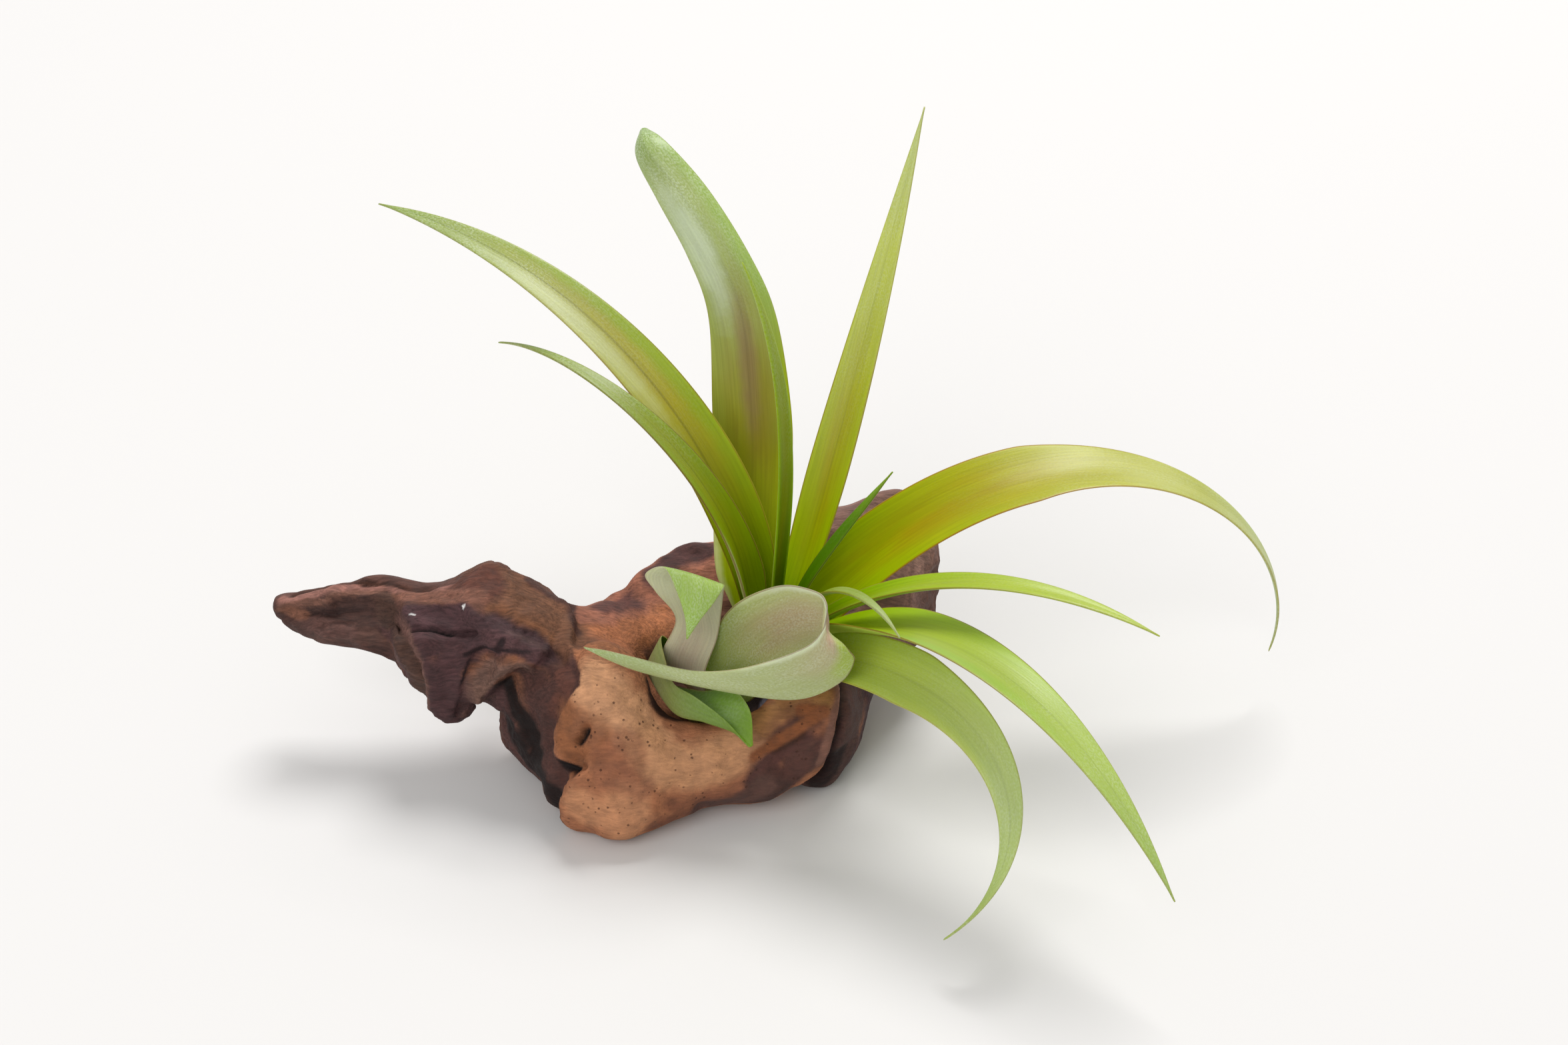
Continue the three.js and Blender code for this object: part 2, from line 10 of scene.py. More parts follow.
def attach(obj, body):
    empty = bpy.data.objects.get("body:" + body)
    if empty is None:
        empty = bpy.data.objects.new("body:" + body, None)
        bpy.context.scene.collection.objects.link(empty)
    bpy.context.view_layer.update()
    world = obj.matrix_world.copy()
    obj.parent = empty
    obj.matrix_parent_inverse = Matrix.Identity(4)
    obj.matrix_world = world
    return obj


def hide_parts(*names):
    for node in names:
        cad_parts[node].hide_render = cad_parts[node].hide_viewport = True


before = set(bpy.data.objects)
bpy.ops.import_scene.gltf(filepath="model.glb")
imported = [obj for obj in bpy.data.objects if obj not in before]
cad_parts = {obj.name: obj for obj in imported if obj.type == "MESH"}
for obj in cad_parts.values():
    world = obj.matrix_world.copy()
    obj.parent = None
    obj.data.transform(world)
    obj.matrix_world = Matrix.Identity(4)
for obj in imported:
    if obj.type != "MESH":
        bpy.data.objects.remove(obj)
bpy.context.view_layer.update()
print("frame loaded")

mm = 0.001
crownGround = Vector((2.074, 0.441, 0))  # the ground under the crown; all places are from there, in mm


def mix(a, b, t):
    return a + (b - a) * t


def smoothStep(low, high, x):
    t = np.clip((x - low) / (high - low), 0, 1)
    return t * t * (3 - 2 * t)


def paint(code):
    # the colour of a hex code, as the shaders want it
    parts = [int(code[i:i + 2], 16) / 255 for i in (1, 3, 5)]
    return [p / 12.92 if p < 0.04045 else ((p + 0.055) / 1.055) ** 2.4 for p in parts] + [1]


def addPiece(name, shape, node):
    # hands a finished bmesh over as the piece that stands for a node
    mesh = bpy.data.meshes.new(name)
    shape.to_mesh(mesh)
    shape.free()
    piece = bpy.data.objects.new(name, mesh)
    bpy.context.collection.objects.link(piece)
    for face in mesh.polygons:
        face.use_smooth = True
    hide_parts(node)
    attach(piece, "root")
    return piece


# finishes: small helpers, then one function for each kind

def newFinish(name):
    finish = bpy.data.materials.new(name)
    finish.use_nodes = True
    return finish, finish.node_tree, finish.node_tree.nodes["Principled BSDF"]


def addNode(tree, kind, inputs=None, **settings):
    node = tree.nodes.new("ShaderNode" + kind)
    for key, value in settings.items():
        setattr(node, key, value)
    for key, value in (inputs or {}).items():
        if isinstance(value, bpy.types.NodeSocket):
            tree.links.new(value, node.inputs[key])
        else:
            node.inputs[key].default_value = value
    return node


def addMath(tree, operation, a, b=0.0):
    return addNode(tree, "Math", {0: a, 1: b}, operation=operation).outputs[0]


def addBand(tree, value, low, high, start=0.0, end=1.0):
    # a smooth step of a value from start to end
    node = addNode(tree, "MapRange", {0: value, 1: low, 2: high, 3: start, 4: end})
    node.interpolation_type = "SMOOTHSTEP"
    return node.outputs[0]


def addMix(tree, amount, a, b, blend="MIX"):
    node = addNode(tree, "Mix", {0: amount, 6: a, 7: b}, data_type="RGBA", blend_type=blend)
    return node.outputs[2]


def addShade(tree, colour, shade):
    # darkens or lightens a colour by a factor
    factor = addNode(tree, "CombineColor", {0: shade, 1: shade, 2: shade}).outputs[0]
    return addMix(tree, 1.0, colour, factor, "MULTIPLY")


def addRamp(tree, value, stops):
    node = addNode(tree, "ValToRGB", {0: value})
    ramp = node.color_ramp
    while len(ramp.elements) < len(stops):
        ramp.elements.new(0.5)
    for element, (place, colour) in zip(ramp.elements, stops):
        element.position = place
        element.color = colour if isinstance(colour, (list, tuple)) else (colour, colour, colour, 1)
    return node.outputs[0]


def addNoise(tree, place, scale, detail=3.0, stretch=(1, 1, 1), roughness=0.55):
    moved = addNode(tree, "Mapping", {"Vector": place, "Scale": stretch}).outputs[0]
    node = addNode(tree, "TexNoise", {"Vector": moved, "Scale": scale, "Detail": detail,
                                      "Roughness": roughness})
    return node.outputs[0]


# how a leaf is finished; each leaf's own dictionary may change any of these
leafLook = {
    # the bright yellow-green of the tones near the crown is partly the leaf's own colour and partly painted
    # light shining through it
    "tone": ["#86a000", "#a0ac20", "#a9b858", "#a3b46c"],  # from the crown to the tip
    "back": ["#93a428", "#9fb050", "#a8b870", "#a3b470"],
    "blush": "#a8701c", "blushAmount": 0.25, "blushFrom": 0.2, "blushTo": 0.6,
    "scurf": "#d3dcc0", "scurfAmount": 0.14, "scurfBase": 0.0,
    "margin": "#7c3c2c", "marginAmount": 0.45, "marginWidth": 0.25,
    # crease sets how much painted shade darkens the fold along the midrib
    "striation": 0.25, "crease": 0.0, "roughness": 0.38, "sheen": 0.5,
    "sheenFrom": 0.2, "sheenTo": 0.65, "scurfFrom": 0.25,
    "patches": [],  # marks: where (along, across), how far they reach, colour and how strong
}


def leafFinish(name, look, side):
    finish, tree, skin = newFinish(name + "_" + side)
    place = addNode(tree, "UVMap", uv_map="lay").outputs[0]      # hundredths of a metre across and along
    spread = addNode(tree, "Attribute", attribute_name="spread").outputs["Vector"]
    parts = addNode(tree, "SeparateXYZ", {0: spread}).outputs
    tipward, inset, across = parts[0], parts[1], parts[2]        # 0 to 1, cm from the margin, -1 to 1

    broad = addNoise(tree, place, 9, 2, (1, 0.5, 1))
    drift = addMath(tree, "MULTIPLY", addMath(tree, "SUBTRACT", broad, 0.5), 0.22)
    # the ramp's bright yellow-green near the crown is partly painted light shining through the leaf
    shades = look["tone" if side == "face" else "back"]
    stops = [(i / (len(shades) - 1), paint(shade)) for i, shade in enumerate(shades)]
    colour = addRamp(tree, addMath(tree, "ADD", tipward, drift), stops)

    # a brown blush down the middle of the blade
    rise = addBand(tree, tipward, look["blushFrom"] - 0.12, look["blushFrom"] + 0.1)
    fall = addBand(tree, tipward, look["blushTo"] - 0.15, look["blushTo"] + 0.2, 1.0, 0.0)
    middle = addBand(tree, addMath(tree, "ABSOLUTE", across), 0.1, 0.9, 1.0, 0.05)
    patchy = addBand(tree, addNoise(tree, place, 22, 3, (1, 0.2, 1)), 0.3, 0.65, 0.35, 1.0)
    blush = addMath(tree, "MULTIPLY", addMath(tree, "MULTIPLY", rise, fall),
                    addMath(tree, "MULTIPLY", middle, patchy))
    blush = addMath(tree, "MULTIPLY", blush, look["blushAmount"])
    colour = addMix(tree, blush, colour, paint(look["blush"]))

    # patches of colour; a few are painted highlights and painted sheen
    for patch in look["patches"]:
        if patch.get("side", side) != side:
            continue
        offAlong = addMath(tree, "MULTIPLY", addMath(tree, "SUBTRACT", tipward, patch["at"][0]),
                           1 / patch["reach"][0])
        offAcross = addMath(tree, "MULTIPLY", addMath(tree, "SUBTRACT", across, patch["at"][1]),
                            1 / patch["reach"][1])
        off = addNode(tree, "CombineXYZ", {0: offAlong, 1: offAcross}).outputs[0]
        far = addNode(tree, "VectorMath", {0: off}, operation="LENGTH").outputs["Value"]
        ragged = addMath(tree, "ADD", far, addMath(tree, "MULTIPLY", addNoise(tree, place, 30, 3), 0.5))
        amount = addMath(tree, "MULTIPLY", addBand(tree, ragged, 0.5, 1.35, 1.0, 0.0), patch["amount"])
        colour = addMix(tree, amount, colour, paint(patch["colour"]))

    # fine lines that run the length of the leaf, and painted shade that darkens the crease of the midrib
    lines = addNoise(tree, place, 100, 2, (2.6, 0.05, 1), 0.7)
    shade = addBand(tree, lines, 0.3, 0.7, 1 - 0.35 * look["striation"], 1 + 0.25 * look["striation"])
    paintedCreaseShade = addBand(tree, addMath(tree, "ABSOLUTE", across), 0.0, 0.09, 1 - look["crease"], 1.0)
    shade = addMath(tree, "MULTIPLY", shade, paintedCreaseShade)
    colour = addShade(tree, colour, shade)

    # the grey scurf of scales, denser towards the tip
    scales = addNoise(tree, place, 330, 2, (1, 0.55, 1), 0.6)
    patches = addNoise(tree, place, 30, 3, (1, 0.3, 1))
    dust = addMath(tree, "MULTIPLY", addBand(tree, scales, 0.38, 0.66),
                   addBand(tree, patches, 0.3, 0.7, 0.3, 1.0))
    cover = addBand(tree, tipward, look["scurfFrom"], 0.95, look["scurfBase"], look["scurfAmount"])
    dust = addMath(tree, "MULTIPLY", dust, addMath(tree, "MULTIPLY", cover, 2.0))
    colour = addMix(tree, dust, colour, paint(look["scurf"]))

    # the thin dark margin, which fades towards the tip
    wander = addMath(tree, "MULTIPLY", addNoise(tree, place, 60, 2, (0.2, 1, 1)), 0.5 * look["marginWidth"])
    width = addMath(tree, "ADD", wander, 0.6 * look["marginWidth"])
    rim = addMath(tree, "SUBTRACT", width, addMath(tree, "MULTIPLY", inset, 10.0))
    fade = addBand(tree, tipward, 0.4, 0.8, look["marginAmount"], 0.35 * look["marginAmount"])
    rim = addMath(tree, "MULTIPLY", addBand(tree, rim, -0.08, 0.1), fade)
    colour = addMix(tree, rim, colour, paint(look["margin"]))

    tree.links.new(colour, skin.inputs["Base Color"])
    gloss = addBand(tree, dust, 0.0, 0.5, look["roughness"], look["roughness"] + 0.2)
    tree.links.new(gloss, skin.inputs["Roughness"])
    gleam = addBand(tree, tipward, look["sheenFrom"], look["sheenTo"], 0.02, look["sheen"])
    tree.links.new(gleam, skin.inputs["Specular IOR Level"])
    skin.inputs["Subsurface Weight"].default_value = 0.25
    skin.inputs["Subsurface Radius"].default_value = (0.8, 1.0, 0.2)
    skin.inputs["Subsurface Scale"].default_value = 0.0014
    height = addMath(tree, "ADD", lines, addMath(tree, "MULTIPLY", scales, 0.4))
    bump = addNode(tree, "Bump", {"Height": height, "Strength": 0.3, "Distance": 0.1 * mm})
    tree.links.new(bump.outputs[0], skin.inputs["Normal"])
    return finish


# the leaves
leafMake = {
    "bladeRows": 60, "sheathRows": 10, "across": 14,
    "thickness": 0.75, "thinMargin": 0.4, "tipWidth": 0.3, "gapToStem": 0.75, "fold": 1.7,
}
stemForm = {
    "foot": Vector((-17, 4, 14)), "crown": Vector((0, 0, 38)),
    "profile": [(-8, 4.4), (-3, 3.8), (3, 3.3), (9, 2.8), (15, 2.3), (19, 1.9), (20.2, 1)],
}
stemAxis = (stemForm["crown"] - stemForm["foot"]).normalized()

# leaves that arch away from the crown: hold, height and out place them beside the stem, in mm,
# and the angles are in degrees; the angles, lengths and widths are the part's, where they were
# fitted to points that were read off the photograph
archedLeaves = {
    "inner_spike_leaf": {
        "hold": 20.8, "height": 26, "out": 0.8, "azimuth": 24, "lift": 79, "droop": 54, "late": 0.6,
        "swing": 22, "swingLate": 1.3, "length": 36, "width": 2.9, "base": 0.8, "full": 0.33,
        "taper": 1.75, "roll": -2, "twist": 6, "channel": 0.2, "slot": "dark_leaf",
        "look": {"tone": ["#3c6000", "#466c00", "#4c7400", "#749024"], "scurfAmount": 0.02, "sheen": 0.08,
                 "blushAmount": 0.0, "marginAmount": 0.2},
    },
    "inner_curl_leaf": {
        "hold": 18.5, "height": 27, "out": 2, "azimuth": -31.6, "lift": 72, "droop": 101.4, "late": 1.17,
        "swing": -26.5, "swingLate": 0.62, "length": 37.5, "width": 3.3, "base": 0.8, "full": 0.3,
        "taper": 1.8, "roll": -7, "twist": -1, "channel": 0.25, "slot": "leaf",
        "look": {"tone": ["#84a000", "#84980c", "#80942c", "#a8b480"], "blushAmount": 0.0,
                 "scurfAmount": 0.05, "marginAmount": 0.4, "sheen": 0.15},
    },
    "inner_narrow_leaf": {
        "hold": 17.5, "height": 24.5, "out": 2.2, "azimuth": 130, "lift": 97, "droop": 41.5, "late": 2.27,
        "swing": 11, "swingLate": 1, "length": 76.7, "width": 5.4, "base": 0.79, "full": 0.32,
        "taper": 1.73, "roll": 20, "twist": -13, "channel": 0.2, "slot": "dark_leaf",
        "look": {"tone": ["#345400", "#607c00", "#849804", "#98a83c"], "blushAmount": 0.15,
                 "scurfAmount": 0.08, "margin": "#8cac1c", "marginWidth": 0.6, "sheen": 0.2,
                 "sheenFrom": 0.4, "sheenTo": 0.9},
    },
    "upper_right_leaf": {
        "hold": 16.5, "height": 24, "out": 2.4, "azimuth": 61, "lift": 54, "droop": -3.7, "late": 1.15,
        "swing": 2.4, "swingLate": 1, "length": 102, "width": 8.8, "base": 0.6, "full": 0.3,
        "taper": 1.6, "roll": -4, "twist": 3, "channel": 0.2, "slot": "leaf",
        "look": {"tone": ["#8cb400", "#9aac00", "#a8b014", "#b8c04c", "#b8c274"], "blush": "#9c680c",
                 "blushAmount": 0.4, "blushFrom": 0.2, "blushTo": 0.5, "scurfAmount": 0.15,
                 "crease": 0.12},
    },
    "right_narrow_leaf": {
        "hold": 15.5, "height": 25, "out": 3.4, "azimuth": -11.5, "lift": 52.5, "droop": 68, "late": 0.81,
        "swing": -17.5, "swingLate": 0.88, "length": 76.7, "width": 6.4, "base": 0.7, "full": 0.31,
        "taper": 1.97, "roll": -7, "twist": 6, "channel": 0.3, "slot": "leaf",
        "look": {"tone": ["#648c00", "#84a400", "#9cb010", "#a4b438"], "blushAmount": 0.1,
                 "scurfAmount": 0.1, "marginAmount": 0.5,
                 "patches": [{"at": (0.02, 0.0), "reach": (0.14, 2.0), "colour": "#4c7c00", "amount": 0.8}]},
    },
    "left_narrow_leaf": {
        "hold": 15, "height": 24, "out": 4.2, "azimuth": 176, "lift": 84.5, "droop": 108, "late": 1.16,
        "swing": -41, "swingLate": 0.74, "length": 86.4, "width": 8.8, "base": 0.65, "full": 0.09,
        "taper": 1.03, "roll": -15, "twist": 16.5, "channel": 0.3, "slot": "leaf",
        "look": {"tone": ["#749000", "#7c9008", "#80902c", "#90a05c"], "blushAmount": 0.15,
                 "scurfAmount": 0.16, "sheen": 0.3, "sheenFrom": 0.3,
                 "margin": "#683028", "marginAmount": 0.6, "crease": 0.2,
                 "patches": [{"at": (0.2, -1.0), "reach": (0.15, 0.4), "colour": "#a4ac70",
                  "amount": 0.85}]},
    },
    "right_arch_leaf": {
        "hold": 13, "height": 21, "out": 3.8, "azimuth": 35.5, "lift": 36, "droop": 140, "late": 1.85,
        "swing": -49, "swingLate": 0.72, "length": 139, "width": 16.5, "base": 0.82, "full": 0.42,
        "taper": 0.8, "roll": 19, "twist": -26, "channel": 0.16, "slot": "leaf",
        "look": {"tone": ["#6c9000", "#8ca000", "#a0a008", "#acac34", "#acb45c", "#98a858"],
                 "blush": "#98680c", "blushAmount": 0.5, "blushFrom": 0.18, "blushTo": 0.42,
                 "scurfAmount": 0.2, "margin": "#8c3420", "marginAmount": 0.6,
                 # the pale band across the blade at the bend is a painted highlight
                 "patches": [{"at": (0.62, 0.0), "reach": (0.08, 1.6), "colour": "#dce0ac", "amount": 0.2},
                             {"at": (0.04, 0.0), "reach": (0.1, 2.0), "colour": "#6c9400", "amount": 0.4}]},
    },
    "upper_left_leaf": {
        "hold": 12, "height": 22, "out": 4.5, "azimuth": 139.5, "lift": 95, "droop": 97.5, "late": 0.63,
        "swing": 10.5, "swingLate": 0.77, "length": 120.7, "width": 12.3, "base": 0.7, "full": 0.21,
        "taper": 1.81, "roll": -6, "twist": -22.3, "channel": 0.2, "slot": "leaf",
        "look": {"tone": ["#587c00", "#889804", "#a09c20", "#a0a044", "#94a04c", "#889c4c"],
                 "blush": "#98702c", "blushAmount": 0.2, "blushFrom": 0.22, "blushTo": 0.55,
                 "scurfAmount": 0.2, "margin": "#743420", "marginAmount": 0.45, "crease": 0.3,
                 # the first patch, pale and silvery, is the scurf's colour with a painted sheen on it
                 "patches": [{"at": (0.62, -0.55), "reach": (0.3, 0.55), "colour": "#c4cca0", "amount": 0.4},
                             {"at": (0.5, 0.85), "reach": (0.35, 0.5), "colour": "#84a41c", "amount": 0.6},
                             {"at": (0.0, 0.0), "reach": (0.1, 2.0), "colour": "#4c6c00", "amount": 0.4}]},
    },
    "front_right_leaf": {
        "hold": 11, "height": 22, "out": 4.4, "azimuth": -15, "lift": 73.5, "droop": 114, "late": 0.5,
        "swing": -44, "swingLate": 0.5, "length": 105.5, "width": 19, "base": 0.22, "full": 0.26,
        "taper": 0.93, "roll": -25.5, "twist": 28, "channel": 0.2, "slot": "leaf",
        "look": {"tone": ["#90bc00", "#90b004", "#94ac30", "#a0b44c", "#94ac54"], "blushAmount": 0.1,
                 "back": ["#a0b834", "#b0c054", "#b4c270", "#a4b46c"], "scurfAmount": 0.14,
                 "striation": 0.18,
                 "margin": "#782c20", "marginAmount": 0.6, "crease": 0.12,
                 "patches": [{"at": (0.45, 0.7), "reach": (0.3, 0.35), "colour": "#8cb024", "amount": 0.5}]},
    },
    "front_curved_leaf": {
        "hold": 9, "height": 18, "out": 6, "azimuth": -34.5, "lift": 64, "droop": 115.5, "late": 0.53,
        "swing": -166, "swingLate": 3.3, "length": 94.7, "width": 12.3, "base": 0.69, "full": 0.36,
        "taper": 0.85, "roll": 21, "twist": 8, "channel": 0.2, "slot": "leaf",
        "look": {"tone": ["#a8c820", "#b0c43c", "#b0c064", "#acbc70", "#94ac4c"], "blushAmount": 0.05,
                 "scurfAmount": 0.16, "scurfBase": 0.05, "striation": 0.15, "marginAmount": 0.35,
                 "crease": 0.1,
                 "patches": [{"at": (0.5, 0.9), "reach": (0.3, 0.35), "colour": "#c0cc5c", "amount": 0.5}]},
    },
}

# leaves that turn or fold: points on the two margins, and on the midrib or how far it bows, in mm;
# some were worked out from pixels of the photograph and a chosen depth
drawnLeaves = {
    "back_broad_leaf": {
        "left": [(-9.8, 6.6, 27), (-13.4, 7.6, 35.5), (-15.8, 11, 40.6), (-16.1, 22, 55.1),
                 (-16.3, 28, 66.3), (-17, 37, 81), (-20.9, 43, 90.5), (-27, 51, 98.9),
                 (-31.2, 58, 104.6), (-30.6, 63.5, 107.3)],
        "right": [(-5.5, 7.5, 27), (-3.4, 8, 35.5), (-2.4, 12, 41.6), (-0.7, 22, 55.1),
                  (-0.9, 28, 66.3), (-3.8, 37, 81.3), (-9, 43, 91.5), (-17, 51, 101.4),
                  (-25, 57, 108.3), (-29.3, 64, 107.9)],
        "bow": [(0, 2.2)], "slot": "leaf",
        "look": {"tone": ["#9cb400", "#94a00c", "#949818", "#989c44", "#9caa60", "#9caa60", "#7c9844"],
                 "blush": "#80602c", "blushAmount": 0.55, "blushFrom": 0.3, "blushTo": 0.58,
                 "scurfAmount": 0.3, "scurfFrom": 0.5, "marginAmount": 0.2, "crease": 0.1,
                 "sheenFrom": 0.45, "sheenTo": 0.8,
                 "patches": [{"at": (0.12, -1.0), "reach": (0.2, 0.3), "colour": "#c4c888", "amount": 0.85},
                             # the next patch, pale and silvery, is the scurf's colour with a painted sheen
                             # on it
                             {"at": (0.72, -0.5), "reach": (0.18, 0.6), "colour": "#d0dac0", "amount": 0.6},
                             {"at": (0.72, 0.85), "reach": (0.3, 0.5), "colour": "#8cac3c", "amount": 0.55},
                             {"at": (0.5, 0.0), "reach": (0.16, 0.35), "colour": "#8c7058", "amount": 0.5},
                             {"at": (0.36, 0.95), "reach": (0.25, 0.4), "colour": "#a0b80c",
                              "amount": 0.6}]},
    },
    "front_twisted_leaf": {
        "left": [(-19, 0.8, 21), (-13.2, -4.3, 40.5), (-3.7, -7.7, 49.2), (3.4, -11.7, 51),
                 (5.5, -14.7, 50.5), (5.5, -16.2, 48), (4.4, -17.5, 45.6), (1.7, -17.5, 42.5),
                 (-4.5, -16.5, 38.6), (-12, -16.5, 36.3), (-20, -15, 35), (-30, -12.5, 36),
                 (-36, -11, 36.6), (-40, -10, 36.5)],
        "right": [(-9.5, -5.5, 19), (-3, -9.4, 28.5), (2.5, -12.3, 35.9), (5.4, -15.2, 40.9),
                  (6.1, -16.6, 43.7), (7.9, -17.3, 43.7), (9.8, -18.8, 42.5), (10.8, -18.1, 39.6),
                  (8.2, -18, 34.3), (0, -18.7, 30.8), (-14, -17, 31.6), (-28, -13, 32.5),
                  (-34.5, -11.5, 34.2), (-40, -10, 36.5)],
        "bow": [(0, -0.8), (0.24, -0.8), (0.3, 0), (0.46, 0), (0.6, -0.8)],
        "sag": [(0.26, (0, 0, 0)), (0.33, (-1, 0, -0.4)), (0.39, (-1.6, -0.2, -0.4)),
                (0.46, (-0.8, -0.5, -0.2)), (0.54, (0, 0, 0))],
        "slot": "silvery_leaf",
        "look": {"tone": ["#84983c", "#acb470", "#bcb088", "#b0b07c", "#a8b074"],
                 "back": ["#8c9c4c", "#a4a87c", "#b0a880", "#a4ac70", "#a4ac70", "#98a868"],
                 "blush": "#b08c78", "blushAmount": 0.6, "blushFrom": 0.15, "blushTo": 0.42,
                 "scurfAmount": 0.22, "scurfBase": 0.16, "margin": "#6c3830", "marginAmount": 0.55,
                 "striation": 0.18, "roughness": 0.5,
                 "patches": [{"side": "back", "at": (0.47, 0.75), "reach": (0.09, 0.6),
                              "colour": "#98b02c", "amount": 0.8},
                             {"side": "back", "at": (0.4, -0.1), "reach": (0.07, 0.7),
                              "colour": "#c09484", "amount": 0.75},
                             # the pale strips along the curled margin, on the face and on the back, are
                             # painted highlights
                             {"at": (0.4, -0.97), "reach": (0.25, 0.2), "colour": "#d0d4b8", "amount": 0.8},
                             {"side": "back", "at": (0.42, -0.97), "reach": (0.25, 0.3),
                              "colour": "#ccd4b0", "amount": 0.7}]},
    },
    "folded_tip_leaf": {
        "left": [(-22, 3, 17), (-26, -1, 27), (-23, -2, 37), (-26.5, -4, 45),
                 (-28.3, -5, 49.8), (-24.7, -6.5, 52.5), (-22.2, -9, 48.6), (-20.8, -10, 43.4),
                 (-20.6, -10.4, 38.7)],
        "right": [(-17.5, -1.6, 16), (-17.5, -4, 25.5), (-15, -4, 34), (-14, -4.5, 41.5),
                  (-13.5, -5, 46.8), (-13.5, -7.2, 48.2), (-15.2, -9.4, 46.6), (-17.8, -10.2, 43.2),
                  (-20.4, -10.4, 38.7)],
        "bow": [(0, -0.3)], "slot": "silvery_leaf",
        "look": {"tone": ["#b8b08c", "#ccc0a4", "#c8c6a4", "#bec29a", "#acbc80"],
                 "back": ["#98a46c", "#a2ae74", "#9cb05c", "#98b44c", "#94b848"],
                 "blush": "#b08c7c", "blushAmount": 0.55, "blushFrom": 0.1, "blushTo": 0.35,
                 "scurfAmount": 0.2, "scurfBase": 0.1, "marginAmount": 0.35,
                 "striation": 0.25, "roughness": 0.5},
    },
    "low_front_leaf": {
        "left": [(-19.2, 2.4, 20.9), (-25.7, 1.4, 30.5), (-24.7, -6.6, 29.8), (-23, -12.3, 29.5),
                 (-19.1, -16.1, 29.6), (-13.4, -19.3, 26.5), (-8.9, -20.7, 20.9)],
        "rib": [(-20.7, 4.7, 17.4), (-27.1, 0.7, 25.5), (-28.1, -4.8, 26), (-23, -13.9, 24),
                (-17, -17.6, 24.8), (-11.2, -18.9, 23.2), (-8.5, -20.5, 20.9)],
        "right": [(-20.8, 8.5, 13.9), (-26.9, 3.7, 21.5), (-26, -3.2, 23), (-18, -10, 26),
                  (-12.4, -12.6, 28.8), (-8.7, -17.3, 27.3), (-8.1, -20.3, 21.1)],
        "slot": "silvery_leaf",
        # its outer side is the one that its points face
        "look": {"tone": ["#848c54", "#8c9458", "#7c8448", "#6c8430", "#64881c"],
                 "back": ["#284000", "#345000", "#406000", "#507400", "#6c9008"],
                 "blush": "#988468", "blushAmount": 0.4, "blushFrom": 0.1, "blushTo": 0.6,
                 "scurfAmount": 0.03, "scurfBase": 0.03, "marginAmount": 0.15, "roughness": 0.5},
    },
}


def besideStem(height, out, azimuth):
    heading = Vector((math.cos(azimuth), math.sin(azimuth), 0))
    outward = (heading - heading.dot(stemAxis) * stemAxis).normalized()
    return stemForm["foot"] + height * stemAxis + out * outward


def stemRadius(height):
    heights, radii = zip(*stemForm["profile"])
    return float(np.interp(height, heights, radii))


def leafWidth(leaf, t):
    if t < leaf["full"]:
        return leaf["width"] * mix(leaf["base"], 1, math.sin(math.pi / 2 * t / leaf["full"]))
    return leaf["width"] * (1 - ((t - leaf["full"]) / (1 - leaf["full"])) ** leaf["taper"])


def leafFrame(leaf, t):
    # the ways along the leaf, across it and out of its upper face
    lift = math.radians(leaf["lift"] - leaf["droop"] * t ** leaf["late"])
    azimuth = math.radians(leaf["azimuth"] + leaf["swing"] * t ** leaf["swingLate"])
    along = Vector((math.cos(lift) * math.cos(azimuth), math.cos(lift) * math.sin(azimuth), math.sin(lift)))
    rise = math.sin(lift)
    upper = Vector((-rise * math.cos(azimuth), -rise * math.sin(azimuth), math.cos(lift)))
    turn = Matrix.Rotation(math.radians(leaf["roll"] + leaf["twist"] * t), 3, along)
    return along, turn @ along.cross(upper), turn @ upper


def leafRow(centre, across, upper, width, sink):
    half = max(width, leafMake["tipWidth"]) / 2
    return centre - half * across, centre - sink * upper, centre + half * across


def archedRows(leaf):
    rows = []
    azimuth = math.radians(leaf["azimuth"])
    start = besideStem(leaf["height"], leaf["out"], azimuth)
    along, across, upper = leafFrame(leaf, 0)
    held = 0.3 if leaf["hold"] > 20 else stemRadius(leaf["hold"]) + leafMake["gapToStem"]
    attached = besideStem(leaf["hold"], held, azimuth)
    bend = start - 0.5 * (start - attached).length * along
    for i in range(leafMake["sheathRows"]):
        t = i / leafMake["sheathRows"]
        point = (1 - t) ** 2 * attached + 2 * t * (1 - t) * bend + t * t * start
        way = ((1 - t) * (bend - attached) + t * (start - bend)).normalized()
        side = (across - across.dot(way) * way).normalized()
        width = leafWidth(leaf, 0) * mix(0.55, 1, t)
        rows.append(leafRow(point, side, side.cross(way), width, leaf["channel"] * width))
    centre = start.copy()
    steps = leafMake["bladeRows"]
    for i in range(steps + 1):
        t = i / steps
        width = leafWidth(leaf, t)
        sink = width * leaf["channel"] * mix(1, 0.35, min(1, 1.6 * t))
        along, across, upper = leafFrame(leaf, t)
        rows.append(leafRow(centre, across, upper, width, sink))
        centre = centre + leaf["length"] / steps * leafFrame(leaf, min(1, t + 0.5 / steps))[0]
    return rows


def smoothPoint(points, t):
    # a smooth curve through the points, at the fraction t
    span = min(max(t, 0), 1) * (len(points) - 1)
    i = min(int(span), len(points) - 2)
    f = span - i
    b, c = Vector(points[i]), Vector(points[i + 1])
    a = Vector(points[i - 1]) if i > 0 else 2 * b - c
    d = Vector(points[i + 2]) if i + 2 < len(points) else 2 * c - b
    square, cube = 2 * a - 5 * b + 4 * c - d, 3 * b - a - 3 * c + d
    return 0.5 * (2 * b + (c - a) * f + square * f * f + cube * f ** 3)


